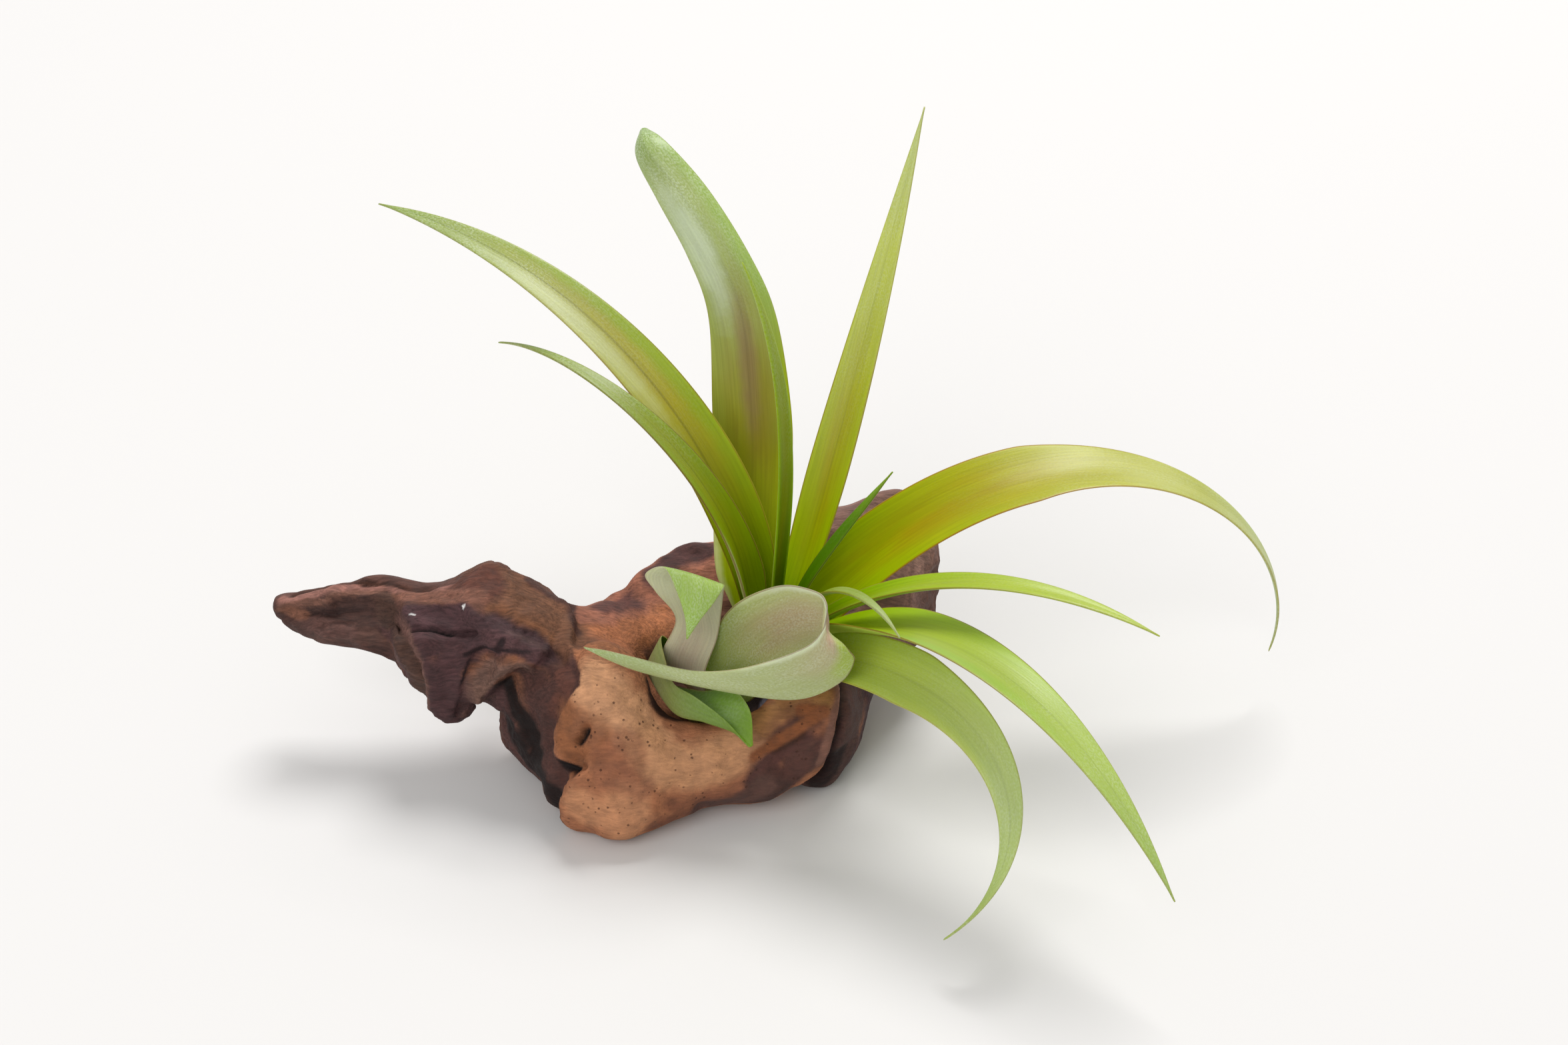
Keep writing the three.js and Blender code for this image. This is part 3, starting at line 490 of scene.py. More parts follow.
def drawnRows(leaf):
    steps = leafMake["bladeRows"] + leafMake["sheathRows"]
    edges = []
    over = Vector((1, 0, 0))
    for i in range(steps + 1):
        left, right = smoothPoint(leaf["left"], i / steps), smoothPoint(leaf["right"], i / steps)
        width = (right - left).length
        if width > leafMake["tipWidth"]:
            over = (right - left).normalized()
        half = max(width, leafMake["tipWidth"]) / 2
        middle = (left + right) / 2
        edges.append((middle - half * over, middle + half * over))
    rows = []
    for i, (left, right) in enumerate(edges):
        if "rib" in leaf:
            rows.append((left, smoothPoint(leaf["rib"], i / steps), right))
            continue
        before, after = edges[max(0, i - 1)], edges[min(steps, i + 1)]
        along = after[0] + after[1] - before[0] - before[1]
        out = (right - left).cross(along).normalized()
        bow = float(np.interp(i / steps, *zip(*leaf["bow"]))) * min(1, (right - left).length / 8)
        middle = (left + right) / 2 + bow * out
        if "sag" in leaf:
            times, sags = zip(*leaf["sag"])
            middle += Vector([float(np.interp(i / steps, times, parts)) for parts in zip(*sags)])
        rows.append((left, middle, right))
    return rows


def makeLeaf(name, leaf):
    rows = drawnRows(leaf) if "left" in leaf else archedRows(leaf)
    last = len(rows) - 1
    along = [0.0]
    for before, after in zip(rows, rows[1:]):
        along.append(along[-1] + (after[1] - before[1]).length)
    shape = bmesh.new()
    bmesh.ops.create_grid(shape, x_segments=leafMake["across"], y_segments=last, size=1)
    lay = shape.loops.layers.uv.new("lay")
    spread = shape.verts.layers.float_vector.new("spread")
    body = shape.verts.layers.deform.verify()
    spots = {}
    seed = Vector((len(name) * 3.7, leaf["slot"].count("a") * 5.1, 0))
    for corner in shape.verts:
        s = corner.co.x
        i = round((corner.co.y + 1) / 2 * last)
        left, rib, right = rows[i]
        width = (right - left).length
        tipward = along[i] / along[-1]
        chord = mix(left, right, (s + 1) / 2)
        point = chord + (1 - abs(s) ** leafMake["fold"]) * (rib - (left + right) / 2)
        corner.co = (crownGround + point) * mm
        inset = (1 - abs(s)) * width / 2
        corner[spread] = (tipward, inset / 10, s)
        thin = mix(1, leafMake["thinMargin"], abs(s) ** 3)
        corner[body][0] = thin * mix(1, 0.5, max(0, tipward - 0.85) / 0.15)
        spots[corner.index] = (0.5 + s * width / 200 + 0.13 * seed.x, along[i] / 100 + seed.y)
    for face in shape.faces:
        for loop in face.loops:
            loop[lay].uv = spots[loop.vert.index]
    piece = addPiece(name + "_fine", shape, name)
    piece.vertex_groups.new(name="body")
    look = {**leafLook, **leaf["look"]}
    piece.data.materials.append(leafFinish(name, look, "face"))
    piece.data.materials.append(leafFinish(name, look, "back"))
    wall = piece.modifiers.new("leaf thickness", "SOLIDIFY")
    wall.thickness = leafMake["thickness"] * mm
    wall.offset = 0
    wall.vertex_group = "body"
    wall.material_offset = 1
    soft = piece.modifiers.new("soft edges", "SUBSURF")
    soft.levels = 1
    soft.render_levels = 1
    return piece


for name, leaf in {**archedLeaves, **drawnLeaves}.items():
    makeLeaf(name, leaf)
print("leaves made")


# where the photograph was taken from: the lens in mm, the place in mm and the tilt in degrees
photoView = {"lens": 55, "sensor": 36, "at": (-2.3, -365.71, 314.21), "pitchDown": 35}
photoSize = {"across": 2352, "down": 1568}  # in pixels
woodAway = (380, 520)  # how far the wood is from the camera, at the nearest and the farthest, in mm

# the driftwood
woodMake = {"grainSize": 0.5, "worn": 14, "swell": 0.2, "groundSnap": 0.3, "flatten": 0.85,
            "speckColour": (0.8, 0.78, 0.76), "speckLength": 0.9, "speckReach": 0.15}

# A place of two numbers is a pixel that was read off the photograph, across and down, and
# layMarks puts it on the frame's wood. One of three is in mm: some of these were given, and
# some were pixels too, which had been cast onto the wood before and were then moved or rounded.

# lines that more than one table uses
armCrest = [
    (-101, 10.5, 30.5), (462, 904), (490, 904), (501, 894), (534, 889), (568, 888), (590, 901),
    (604, 921),
]
armGroove = [
    (439, 893), (484, 882), (523, 874), (568, 876), (602, 880), (646, 886),
]
crumblyEdge = [
    (697, 988), (722, 976), (747, 977), (758, 961), (792, 974), (814, 982),
]

# ridges and grooves: paths of places, how far they reach and how high they stand, in mm
woodLines = {
    "groove behind the crest": {"path": armGroove, "reach": 0.9, "height": -1.0},
    "crest line": {"path": [(434, 908), (462, 904), (490, 904), (501, 894), (534, 889),
                            (568, 888), (590, 901)],
                   "reach": 0.8, "height": 0.5},
    "fibres of the arm": {"path": [(-97, 9, 30), (-91, 7, 31), (-87, 7.5, 33), (-81, 5, 33), (-77.5, 3, 32)],
                          "reach": 0.7, "height": -1.1},
    "fibres below": {"path": [(-95, 6.5, 28.5), (-89, 5.5, 29.5), (-83, 3.5, 30), (-78, 0.5, 30)],
                     "reach": 0.7, "height": -0.9},
    "lip of the lobe": {"path": [(607, 916), (624, 912), (658, 912), (680, 908),
                                 (705, 905), (725, 927)],
                        "reach": 0.9, "height": 0.8},
    "crack": {"path": [(620, 947), (-70.3, 0.3, 32.8), (670, 950), (712, 951)],
              "reach": 0.5, "height": -1.6},
    "knob ridge": {"path": [(712, 870), (733, 855), (774, 857), (795, 875),
                            (821, 896), (852, 914)],
                   "reach": 1.6, "height": 0.5},
    "crevice": {"path": [(-45.5, -20, 16), (859, 1158), (-40.5, -23, 18)], "reach": 0.9, "height": -2.0},
    "knot": {"path": [(-41, -19, 21.5), (-39.5, -18, 23.5)], "reach": 0.75, "height": -2.6},
    "groove of the leg": {"path": [(8.9, -2, 23.5), (1262, 1041), (1260, 1085), (1249, 1122),
                                   (1235, 1153), (2, -11.5, 5)],
                          "reach": 1.0, "height": -2.0},
    "wall beside the leg": {"path": [(1256, 1035), (1253, 1072), (1243, 1109),
                                     (1228, 1147), (1.6, -14, 6)],
                            "reach": 1.5, "height": 0.8},
    "body fold": {"path": [(-40.5, -14, 29.5), (-37.8, -17, 24), (-34, -20, 21), (-31.5, -24, 16.5)],
                  "reach": 2.6, "height": 0.5},
    "body swell": {"path": [(949, 1078), (-26, -20.5, 18.5), (-18, -20.5, 15), (-10, -18.5, 14)],
                   "reach": 3.0, "height": 0.5},
}
# ledges: the side towards which a path faces stands proud and the other is cut back
woodLedges = {
    "crest of the arm": {"path": armCrest, "towards": (0, 1, 0.4),
                         "rise": 0.4, "drop": 1.5, "sharp": 0.3, "reach": 6},
    "crumbly edge": {"path": crumblyEdge, "towards": (0, 0, 1),
                     "rise": 0.6, "drop": 0.5, "sharp": 0.4, "reach": 3},
    "left edge of the lobe": {"path": [(587, 904), (603, 935), (616, 961), (626, 998),
                                       (637, 1034), (642, 1060), (655, 1073)],
                              "towards": (1, -0.2, 0), "rise": 0.7, "drop": 1.4, "sharp": 0.5, "reach": 4.5},
    "top of the nose": {"path": [(-60.5, 0.5, 36.8), (754, 940), (785, 956),
                                 (811, 969), (820, 982)],
                        "towards": (-0.2, -1, -0.5), "rise": 1.3, "drop": 0.8, "sharp": 0.5, "reach": 4.5},
    "under the nose": {"path": [(820, 982), (800, 1000), (774, 1011),
                                (759, 1021), (743, 1039), (-60, -3.5, 19)],
                       "towards": (-0.6, 0, 0.8), "rise": 1.2, "drop": 1.5, "sharp": 0.5, "reach": 5},
    "facet edge": {"path": [(800, 979), (-54.7, -4.6, 32.4), (725, 972), (707, 987),
                            (699, 1008), (691, 1034), (683, 1065)],
                   "towards": (-0.7, 0, 0.7), "rise": 0.4, "drop": 0.7, "sharp": 0.4, "reach": 3},
    "neck": {"path": [(859, 982), (870, 1008), (873, 1029), (858, 1044),
                      (842, 1070), (832, 1096), (831, 1128), (837, 1153)],
             "towards": (1, -0.6, 0), "rise": 0.5, "drop": 1.1, "sharp": 0.9, "reach": 5},
    "edge of the knob": {"path": [(852, 914), (864, 927), (862, 951), (859, 982)],
                         "towards": (-1, 0, 0.2), "rise": 0.8, "drop": 1.0, "sharp": 0.6, "reach": 3.5},
    "foot": {"path": [(-41.5, -22.6, 17), (846, 1184), (840, 1202), (842, 1227),
                      (-44.9, -21.5, 1)],
             "towards": (1, -0.3, -0.2), "rise": 0.5, "drop": 2.0, "sharp": 0.6, "reach": 5},
    "top of the foot": {"path": [(-43, -22.5, 16.6), (-38.5, -24.5, 17.2), (-34, -26, 16.5)],
                        "towards": (0, -0.4, -1), "rise": 0.5, "drop": 0.5, "sharp": 1.0, "reach": 4},
}
# parts that stand out further: a path, how far and which way they are pushed
woodLumps = {
    "web behind the lobe": {"path": [(-65, -1, 17.5), (-60, -1, 18)], "reach": 5.5, "push": (0, -0.6, -3.2)},
    "end of the foot": {"path": [(-36, -25.5, 3), (-33, -26, 3)], "reach": 4, "push": (0.3, -0.9, 0)},
    "back rim": {"path": [(-29, 23, 27), (-23, 30, 27.5)], "reach": 7, "push": (-0.2, 0.8, 1.6)},
    "knob top": {"path": [(-60, 12.5, 38), (-58, 13, 38)], "reach": 4, "push": (0, 0.2, 0.5)},
}
# flats that weathering and breaks have left: a point on each, the way it faces and how far it goes
woodFlats = {
    "lobe face": {"at": (-68.1, -2.7, 26.5), "facing": (-0.03, -0.99, 0.11), "reach": 12},
    "lobe corner": {"at": (-57.8, -5.4, 25.5), "facing": (0.35, -0.8, -0.49), "reach": 9},
    "arm front": {"at": (-88, 8.5, 31.7), "facing": (0.05, -0.68, 0.73), "reach": 14},
    "arm low front": {"at": (-88, 5, 28), "facing": (0.05, -0.97, 0.1), "reach": 13},
    "arm top": {"at": (-86, 13, 35.3), "facing": (-0.05, 0.1, 0.99), "reach": 15},
    "knob side": {"at": (-50, 5.5, 36), "facing": (0.45, -0.2, 0.87), "reach": 9},
    "knob slope": {"at": (-50, 0.5, 34.6), "facing": (0.45, -0.5, 0.74), "reach": 7},
    "knob back": {"at": (-53, 13, 35.5), "facing": (0.3, 0.75, 0.6), "reach": 8},
    "body front": {"at": (-30, -23, 15), "facing": (0.1, -0.88, 0.46), "reach": 12},
    "foot front": {"at": (-37, -26, 9), "facing": (-0.25, -0.95, 0.15), "reach": 9},
    "right front": {"at": (-6, -17, 14), "facing": (0.3, -0.92, 0.25), "reach": 11},
    "right low": {"at": (-12, -18.5, 6), "facing": (0.1, -0.8, -0.58), "reach": 9},
    "neck side": {"at": (-51.5, -9.5, 18), "facing": (-0.7, -0.68, 0.1), "reach": 9},
    "back of the body": {"at": (-30, 27, 16), "facing": (-0.5, 0.8, 0.3), "reach": 13},
    "shoulder top": {"at": (19, 28, 36), "facing": (0.2, -0.25, 0.95), "reach": 11},
    "shoulder side": {"at": (25.5, 20, 22), "facing": (0.92, -0.38, 0.1), "reach": 12},
    "back of the shoulder": {"at": (10, 39, 24), "facing": (0.1, 0.96, 0.25), "reach": 14},
}
woodPits = {
    "hollow by the neck": {"at": (-50.5, -9.5, 17), "radii": (4.5, 4, 6), "depth": 1.3},
    "back rim pit": {"at": (937, 893), "radii": (5, 4, 3), "depth": 1.6},
    "back rim pit right": {"at": (1040, 837), "radii": (4.5, 3, 3), "depth": 1.3},
    "facet dish": {"at": (-59, -5, 25.5), "radii": (5.5, 4, 5), "depth": 1.1},
    "arm dish": {"at": (-84, 5.5, 30), "radii": (9, 4, 3.4), "depth": 1.2},
    "arm dish left": {"at": (-95, 8, 29), "radii": (4, 4, 3), "depth": 0.6},
    "dent in the front": {"at": (-24.5, -24, 11), "radii": (5, 4, 3.5), "depth": 0.8},
    "dent by the leg": {"at": (-2, -16.5, 13), "radii": (4, 4, 4), "depth": 0.8},
    "dent by the knot": {"at": (-37, -19.5, 23), "radii": (4, 4, 3), "depth": 0.7},
}


def rayThrough(across, down):
    # the way from the camera through a pixel of the photograph
    focal = photoSize["across"] * photoView["lens"] / photoView["sensor"]
    way = Vector((across - photoSize["across"] / 2, photoSize["down"] / 2 - down, -focal))
    return (Matrix.Rotation(math.radians(90 - photoView["pitchDown"]), 3, "X") @ way).normalized()


def onWood(wood, across, down):
    # where a pixel lies on the frame's wood; one just beside the wood goes to the nearest part of it
    camera = (crownGround + Vector(photoView["at"])) * mm
    way = rayThrough(across, down)
    place = wood.ray_cast(camera, way)[0]
    if place is None:
        nearby = [wood.find_nearest(camera + distance * mm * way) for distance in range(*woodAway)]
        place = min(nearby, key=lambda found: found[3])[0]
    return tuple(place / mm - crownGround)


def layMarks():
    # turns every mark's pixels into places on the wood
    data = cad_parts["driftwood"].data
    corners = [corner.co for corner in data.vertices]
    wood = BVHTree.FromPolygons(corners, [face.vertices for face in data.polygons])
    for mark in [*woodLines.values(), *woodLedges.values(), *woodLumps.values(), *woodTones]:
        mark["path"] = [place if len(place) == 3 else onWood(wood, *place) for place in mark["path"]]
    for mark in [*woodFlats.values(), *woodPits.values()]:
        if len(mark["at"]) == 2:
            mark["at"] = onWood(wood, *mark["at"])
    whiteSpecks[:] = [onWood(wood, *speck) for speck in whiteSpecks]


def nearPath(points, path):
    nearest = np.full(len(points), 1e9)
    for start, end in zip(path, path[1:]):
        start = np.array(start, dtype=float)
        run = np.array(end, dtype=float) - start
        t = np.clip((points - start) @ run / max(run @ run, 1e-9), 0, 1)
        nearest = np.minimum(nearest, np.linalg.norm(points - start - t[:, None] * run, axis=1))
    return nearest


def sideOf(points, path, towards):
    # how far each point lies to the facing side of a path, below 0 on the other side
    nearest = np.full(len(points), 1e9)
    side = np.zeros(len(points))
    for start, end in zip(path, path[1:]):
        start = np.array(start, dtype=float)
        run = np.array(end, dtype=float) - start
        square = max(run @ run, 1e-9)
        facing = np.array(towards) - run * (np.array(towards) @ run) / square
        t = np.clip((points - start) @ run / square, 0, 1)
        offset = points - start - t[:, None] * run
        away = np.linalg.norm(offset, axis=1)
        closer = away < nearest
        side[closer] = (offset @ facing / np.linalg.norm(facing))[closer]
        nearest = np.minimum(nearest, away)
    return side, nearest


def noiseOver(points, size, stretch=(1, 1, 1), octaves=1, shift=0.0):
    # -1 to 1 or so, in lumps of the given size
    scaled = points / (size * np.array(stretch)) + shift
    if octaves == 1:
        return np.array([noise.noise(Vector(p)) for p in scaled])
    return np.array([noise.fractal(Vector(p), 1.0, 2.0, octaves) for p in scaled])


def carveWood(points, normals):
    # moves the points of the wood, in mm; normals point out of it
    points = points + woodMake["swell"] * normals
    for lump in woodLumps.values():
        inReach = 1 - smoothStep(0.2 * lump["reach"], lump["reach"], nearPath(points, lump["path"]))
        points = points + inReach[:, None] * np.array(lump["push"])
    for flat in woodFlats.values():
        facing = np.array(flat["facing"]) / np.linalg.norm(flat["facing"])
        offset = points - np.array(flat["at"])
        proud = np.maximum(0, offset @ facing)
        inReach = 1 - smoothStep(0.7 * flat["reach"], flat["reach"], np.linalg.norm(offset, axis=1))
        points = points - (woodMake["flatten"] * proud * inReach)[:, None] * facing
    wander = 0.35 * noiseOver(points, 2.2, shift=4.0) + 0.2 * noiseOver(points, 0.9, shift=8.0)
    height = 0.4 * noiseOver(points, 9, octaves=2)
    height += 0.2 * noiseOver(points, 3.2, (2.2, 1, 1), shift=7.0)
    isArm = 1 - smoothStep(-56, -46, points[:, 0])
    height += 0.18 * noiseOver(points, 1.1, (6, 1, 1), shift=3.0) * (0.35 + 1.2 * isArm)
    isBack = smoothStep(14, 24, points[:, 1])
    rugged = np.maximum(isBack, 0.7 * isArm)
    height += 0.6 * noiseOver(points, 2.6, (6, 1.5, 1), octaves=2, shift=6.0) * rugged
    for ledge in woodLedges.values():
        side, away = sideOf(points, ledge["path"], ledge["towards"])
        step = np.tanh((side + wander) / ledge["sharp"])
        fade = 1 - smoothStep(0.25 * ledge["reach"], ledge["reach"], away)
        height += np.where(step > 0, ledge["rise"] * step, ledge["drop"] * step) * fade
    for line in woodLines.values():
        wobble = 1 + 0.5 * noiseOver(points, 2.4, shift=len(line["path"]))
        away = nearPath(points, line["path"]) / (line["reach"] * wobble)
        height += line["height"] * np.exp(-away ** 2)
    for pit in woodPits.values():
        away = np.linalg.norm((points - np.array(pit["at"])) / np.array(pit["radii"]), axis=1)
        height -= pit["depth"] * (1 - smoothStep(0.35, 1.15, away))
    crumbly = 1 - smoothStep(3, 7, nearPath(points, crumblyPath))
    height += 0.45 * noiseOver(points, 1.2, octaves=2, shift=11.0) * crumbly
    return points + height[:, None] * normals


# colours on the wood before it is carved: patches along paths of points, laid one over the other;
# a patch that faces one way colours only that side of its path
# some of them are painted shade in hollows, grooves and cracks, and painted highlights along ridges and
# edges
woodTones = [
    {"colour": "#a06848", "path": [(-35, -20, 15), (-8, -14, 14)], "reach": 200},
    {"colour": "#684436", "path": [(-60, 9, 20), (-30, 7, 16), (30, 7, 16)],
     "towards": (0, 1, 0), "reach": 70},
    # the light body
    {"colour": "#c4906a", "path": [(-38, -13.2, 30), (924, 1054), (949, 1078), (-28, -19, 20)],
     "reach": 5.5},
    {"colour": "#b98660", "path": [(-28, -19, 20), (986, 1147), (1036, 1153), (1085, 1140),
                                   (-8, -16, 18)], "reach": 5},
    {"colour": "#b47e5a", "path": [(-40, -25, 10), (912, 1227), (-30.8, -27, 12), (-33, -26, 5)],
     "reach": 4.6},
    {"colour": "#ac7a4c", "path": [(1147, 1085), (1184, 1060), (4.3, -9.5, 22.9)], "reach": 3},
    {"colour": "#7c4a34", "path": [(-36.2, -21.2, 21.5), (-31.6, -20.6, 21.5), (-31, -22.9, 18.6)],
     "reach": 3.4,
     "strength": 0.5},
    {"colour": "#8a5840", "path": [(924, 1171), (-36, -24.6, 16.8), (-29, -25, 14)], "reach": 2.8,
     "strength": 0.6},
    {"colour": "#8c5838", "path": [(-43.4, -15, 25), (-44, -18, 20.5), (-41, -20.5, 19)], "reach": 2.8},
    {"colour": "#7a4c36", "path": [(-22, -25, 8), (-14, -20, 6), (-26, -25.5, 3.5)], "reach": 3.4},
    # dark patches towards the right
    {"colour": "#7a4c38", "path": [(2, -12, 19), (-3, -16, 15), (-7, -18, 9), (-12, -19, 6)], "reach": 5.5,
     "strength": 0.7},
    {"colour": "#563630", "path": [(1203, 1109), (1172, 1134), (1153, 1153), (-8, -18.5, 11)],
     "reach": 2.5},
    {"colour": "#56382e", "path": [(3, -11.5, 20.4), (0.3, -12.4, 19.6), (-2.6, -14.6, 18)], "reach": 2.2},
    {"colour": "#54362f", "path": [(5.2, -12.6, 14), (1197, 1153), (-3, -17.5, 8)], "reach": 3.6},
    {"colour": "#40251b", "path": [(0.5, -13.5, 18.5), (1180, 1110), (-4, -15.5, 16.5)], "reach": 1.8},
    {"colour": "#4c302a", "path": [(-4, -18, 11), (-7, -18.5, 9), (-10, -19, 7)], "reach": 2.6},
    {"colour": "#48302a", "path": [(-3, -17, 8), (-6, -17.5, 5.5), (-10, -18.5, 4)], "reach": 2.6},
    {"colour": "#5c4038", "path": [(-6, -18.9, 9), (-10.8, -19.1, 5.6), (-18, -19.5, 3)], "reach": 3.0},
    {"colour": "#865030", "path": [(1.1, -10.8, 21.6), (5.1, -10.6, 21.4), (-8, -17.5, 15.5)], "reach": 1.4},
    # the leg and the shoulder on the right
    {"colour": "#4c322c", "path": [(9.4, 6, 25), (8.9, -2, 23.5), (1262, 1041), (1260, 1085),
                                   (1249, 1122), (1235, 1153), (2, -11.5, 4), (0, -12, 0)],
     "towards": (1, 0.4, 0), "reach": 12},
    {"colour": "#4a322c", "path": [(13, 2, 20), (1287, 1047), (1280, 1091), (1265, 1140),
                                   (6.5, -9.5, 3)], "reach": 4.6},
    {"colour": "#40282a", "path": [(18, 8, 16), (16, 2, 8), (10, -2, 3)], "reach": 6},
    # the leg's dark wood, deepened by painted shade low down by the floor
    {"colour": "#221210", "path": [(8.5, -9, 10), (6.5, -10, 6), (4, -11, 3)], "reach": 2.2},
    # painted shade in the groove of the leg
    {"colour": "#2a1816", "path": [(8.9, -2, 23.5), (1262, 1041), (1260, 1085), (1249, 1122),
                                   (1235, 1153), (2, -11.5, 4)], "reach": 0.9},
    {"colour": "#7c5648", "path": [(7.7, -6.6, 23.2), (7.2, -10.8, 20.6), (6, -12.6, 16), (4.4, -13.4, 11)],
     "reach": 1.0},
    {"colour": "#86645a", "path": [(1277, 773), (1310, 753), (1360, 857), (1393, 847),
                                   (1380, 890), (1327, 920), (25, 30, 20)], "reach": 10},
    {"colour": "#927064", "path": [(22, 27, 35), (27, 22, 30)], "reach": 3.4},
    {"colour": "#5e3e34", "path": [(-52, 16, 12), (-36, 28, 14), (-16, 40, 16), (4, 42, 18), (22, 38, 22),
                                   (30, 24, 18)], "reach": 13},
    # the rim at the back
    {"colour": "#96604c", "path": [(-39, 8, 29), (-34, 14, 28), (-28, 22, 27), (-22, 29, 28), (-8, 34, 28)],
     "reach": 9},
    {"colour": "#a86a48", "path": [(-41.3, 2.6, 30.4), (-35, 4.3, 27.4), (961, 948), (998, 930)],
     "reach": 3.4},
    {"colour": "#5c3a34", "path": [(-38, 12, 28.4), (947, 903), (937, 893)], "reach": 2.8},
    {"colour": "#4e3230", "path": [(-28, 22.5, 26.5), (1027, 840), (1057, 827)], "reach": 3.0},
    {"colour": "#5a3c34", "path": [(-50, 12, 12), (-34, 26, 12), (-16, 38, 14), (4, 38, 16), (20, 34, 16)],
     "reach": 8},
    # the arm
    {"colour": "#4c322c", "path": [(-102, 13, 26), (-90, 12, 26), (-74, 10, 26), (-60, 9, 22)], "reach": 13},
    {"colour": "#5c4139", "path": [(431, 933), (462, 946), (-89.7, 5.9, 29), (-82.5, 3.9, 29)],
     "reach": 3.6},
    {"colour": "#45292a", "path": [(-81, 3.6, 32), (-76.8, 1, 31), (-75, -2, 27), (-75, 0, 20)],
     "reach": 2.0},
    {"colour": "#5e4038", "path": [(-101, 14, 31), (467, 877), (-86, 14, 34.5), (590, 870),
                                   (646, 875), (-66, 10, 36.5)], "reach": 1.8},
    # painted highlight along the top of the arm's ridge
    {"colour": "#94665a", "path": [(-100.5, 11.5, 31), (-96, 11.5, 32.5), (-91, 11, 34), (-85, 11, 35.5),
                                   (-79, 10, 35.5), (-73, 9, 35.5), (-67, 8, 36.5)], "reach": 1.5},
    # painted shade in the groove behind the crest
    {"colour": "#44291f", "path": armGroove, "reach": 0.7},
    {"colour": "#4b332d", "path": armCrest, "towards": (0, -1, -0.4), "reach": 8.5},
    # painted highlight along the crest
    {"colour": "#7a5446", "path": armCrest[:6], "reach": 0.5},
    {"colour": "#35221f", "path": [(-96, 8, 30.5), (-91, 7.5, 31.5), (-87, 7.5, 33), (-80, 6, 33.5)],
     "reach": 0.9, "strength": 0.7},
    {"colour": "#664740", "path": [(-97, 7, 28.5), (-92, 5.5, 28.5), (-88, 4.5, 28)], "reach": 2.2,
     "strength": 0.8},
    {"colour": "#78503f", "path": [(-101, 10, 29.5), (-97.5, 9, 29.5)], "reach": 1.6},
    # the knob and the neck
    {"colour": "#503430", "path": [(-58, 4, 32), (-54, 0, 22), (-53, -3, 12), (-52, -6, 4)], "reach": 9},
    # partly the dark wood, partly painted shade on the wall that faces away from the light
    {"colour": "#4c302a", "path": [(864, 927), (862, 951), (859, 982), (870, 1008),
                                   (873, 1029), (858, 1044), (842, 1070),
                                   (832, 1096), (831, 1128), (-43.9, -21, 16.6), (846, 1184),
                                   (840, 1202), (842, 1227), (-44.9, -21.5, 0)],
     "towards": (-1, 0.5, 0), "reach": 9},
    {"colour": "#76503c", "path": [(764, 883), (795, 904), (826, 925), (847, 951)],
     "reach": 6.5},
    {"colour": "#603a2f", "path": [(691, 883), (-60, 8, 39), (-59.5, 5.5, 39)], "reach": 3.8},
    # painted highlight along the ridge up to the knob
    {"colour": "#7c5344", "path": [(-76, 8, 35.5), (635, 896), (680, 897), (-60.5, 3, 38)], "reach": 1.8},
    {"colour": "#85583e", "path": [(740, 917), (-54.9, 0.2, 36.5), (-50.9, -1.2, 34.9), (-47, -1.9, 33)],
     "reach": 1.8},
    {"colour": "#583a32", "path": [(795, 875), (821, 896), (852, 914), (-43, 3, 31)],
     "reach": 1.6},
    {"colour": "#4c302a", "path": [(795, 1024), (816, 1050), (806, 1081), (-50, -9, 14)],
     "reach": 4.4},
    {"colour": "#5c382e", "path": [(842, 1008), (-43.5, -12.2, 28.6), (-46, -13.2, 24)], "reach": 2.0},
    # this and the next: the neck's dark wood, deepened by painted shade low down under the neck
    {"colour": "#1c0c0a", "path": [(764, 1081), (-52, -10, 9), (-48.4, -17.4, 10), (-46.6, -20.6, 8),
                                   (-46.6, -20.5, 3)], "reach": 2.8},
    {"colour": "#180906", "path": [(-55.5, -6, 20), (-52, -10, 15), (806, 1140)], "reach": 3.0},
    # the lobe
    {"colour": "#4e3433", "path": [(-74, -1, 31), (-71, -3, 22), (-66, -2, 14), (-62, -3, 18)],
     "reach": 6.5},
    {"colour": "#4c3233", "path": [(-72, -2, 30), (-64, -2, 31), (-68, -4, 26), (-69, -3, 20),
     (-70, -1.5, 15)],
     "reach": 5.0},
    {"colour": "#4e3537", "path": [(607, 916), (624, 912), (658, 912), (680, 908),
                                   (705, 905), (725, 927), (736, 939)],
     "towards": (0, -1, -0.3), "reach": 8},
    {"colour": "#4a3436", "path": [(736, 939), (-54, -3.5, 34.5), (-50.5, -4, 33.5), (-48, -5, 32)],
     "reach": 3.0},
    # painted shade in the hollow left of the lobe's edge
    {"colour": "#50382f", "path": [(593, 907), (616, 946), (627, 988), (641, 1033),
                                   (646, 1061)], "towards": (-1, 0.2, 0), "reach": 6},
    {"colour": "#5c4544", "path": [(-54.5, -4, 33.5), (-52, -4.8, 33), (-49.5, -4.8, 32)], "reach": 1.8},
    # painted highlight along the lobe's left edge
    {"colour": "#694a42", "path": [(593, 920), (616, 961), (626, 998), (-71.7, -4.6, 22.2),
                                   (-71.9, -1.6, 15.6)], "reach": 0.9},
    {"colour": "#54393a", "path": [(-59.5, -3, 33.6), (-52, -5.6, 32.4), (-49, -6, 31)], "reach": 1.8},
    {"colour": "#2c1c1e", "path": crumblyEdge[:4], "reach": 0.6},
    {"colour": "#74564a", "path": [(774, 1011), (-58, -6.4, 26.4), (-61.5, -5.8, 22), (-63.5, -3.6, 16.5)],
     "reach": 3.0},
    # painted shade in the crack
    {"colour": "#160c0c", "path": [(621, 948), (-70.3, 0.3, 32.8), (677, 953)], "reach": 0.45},
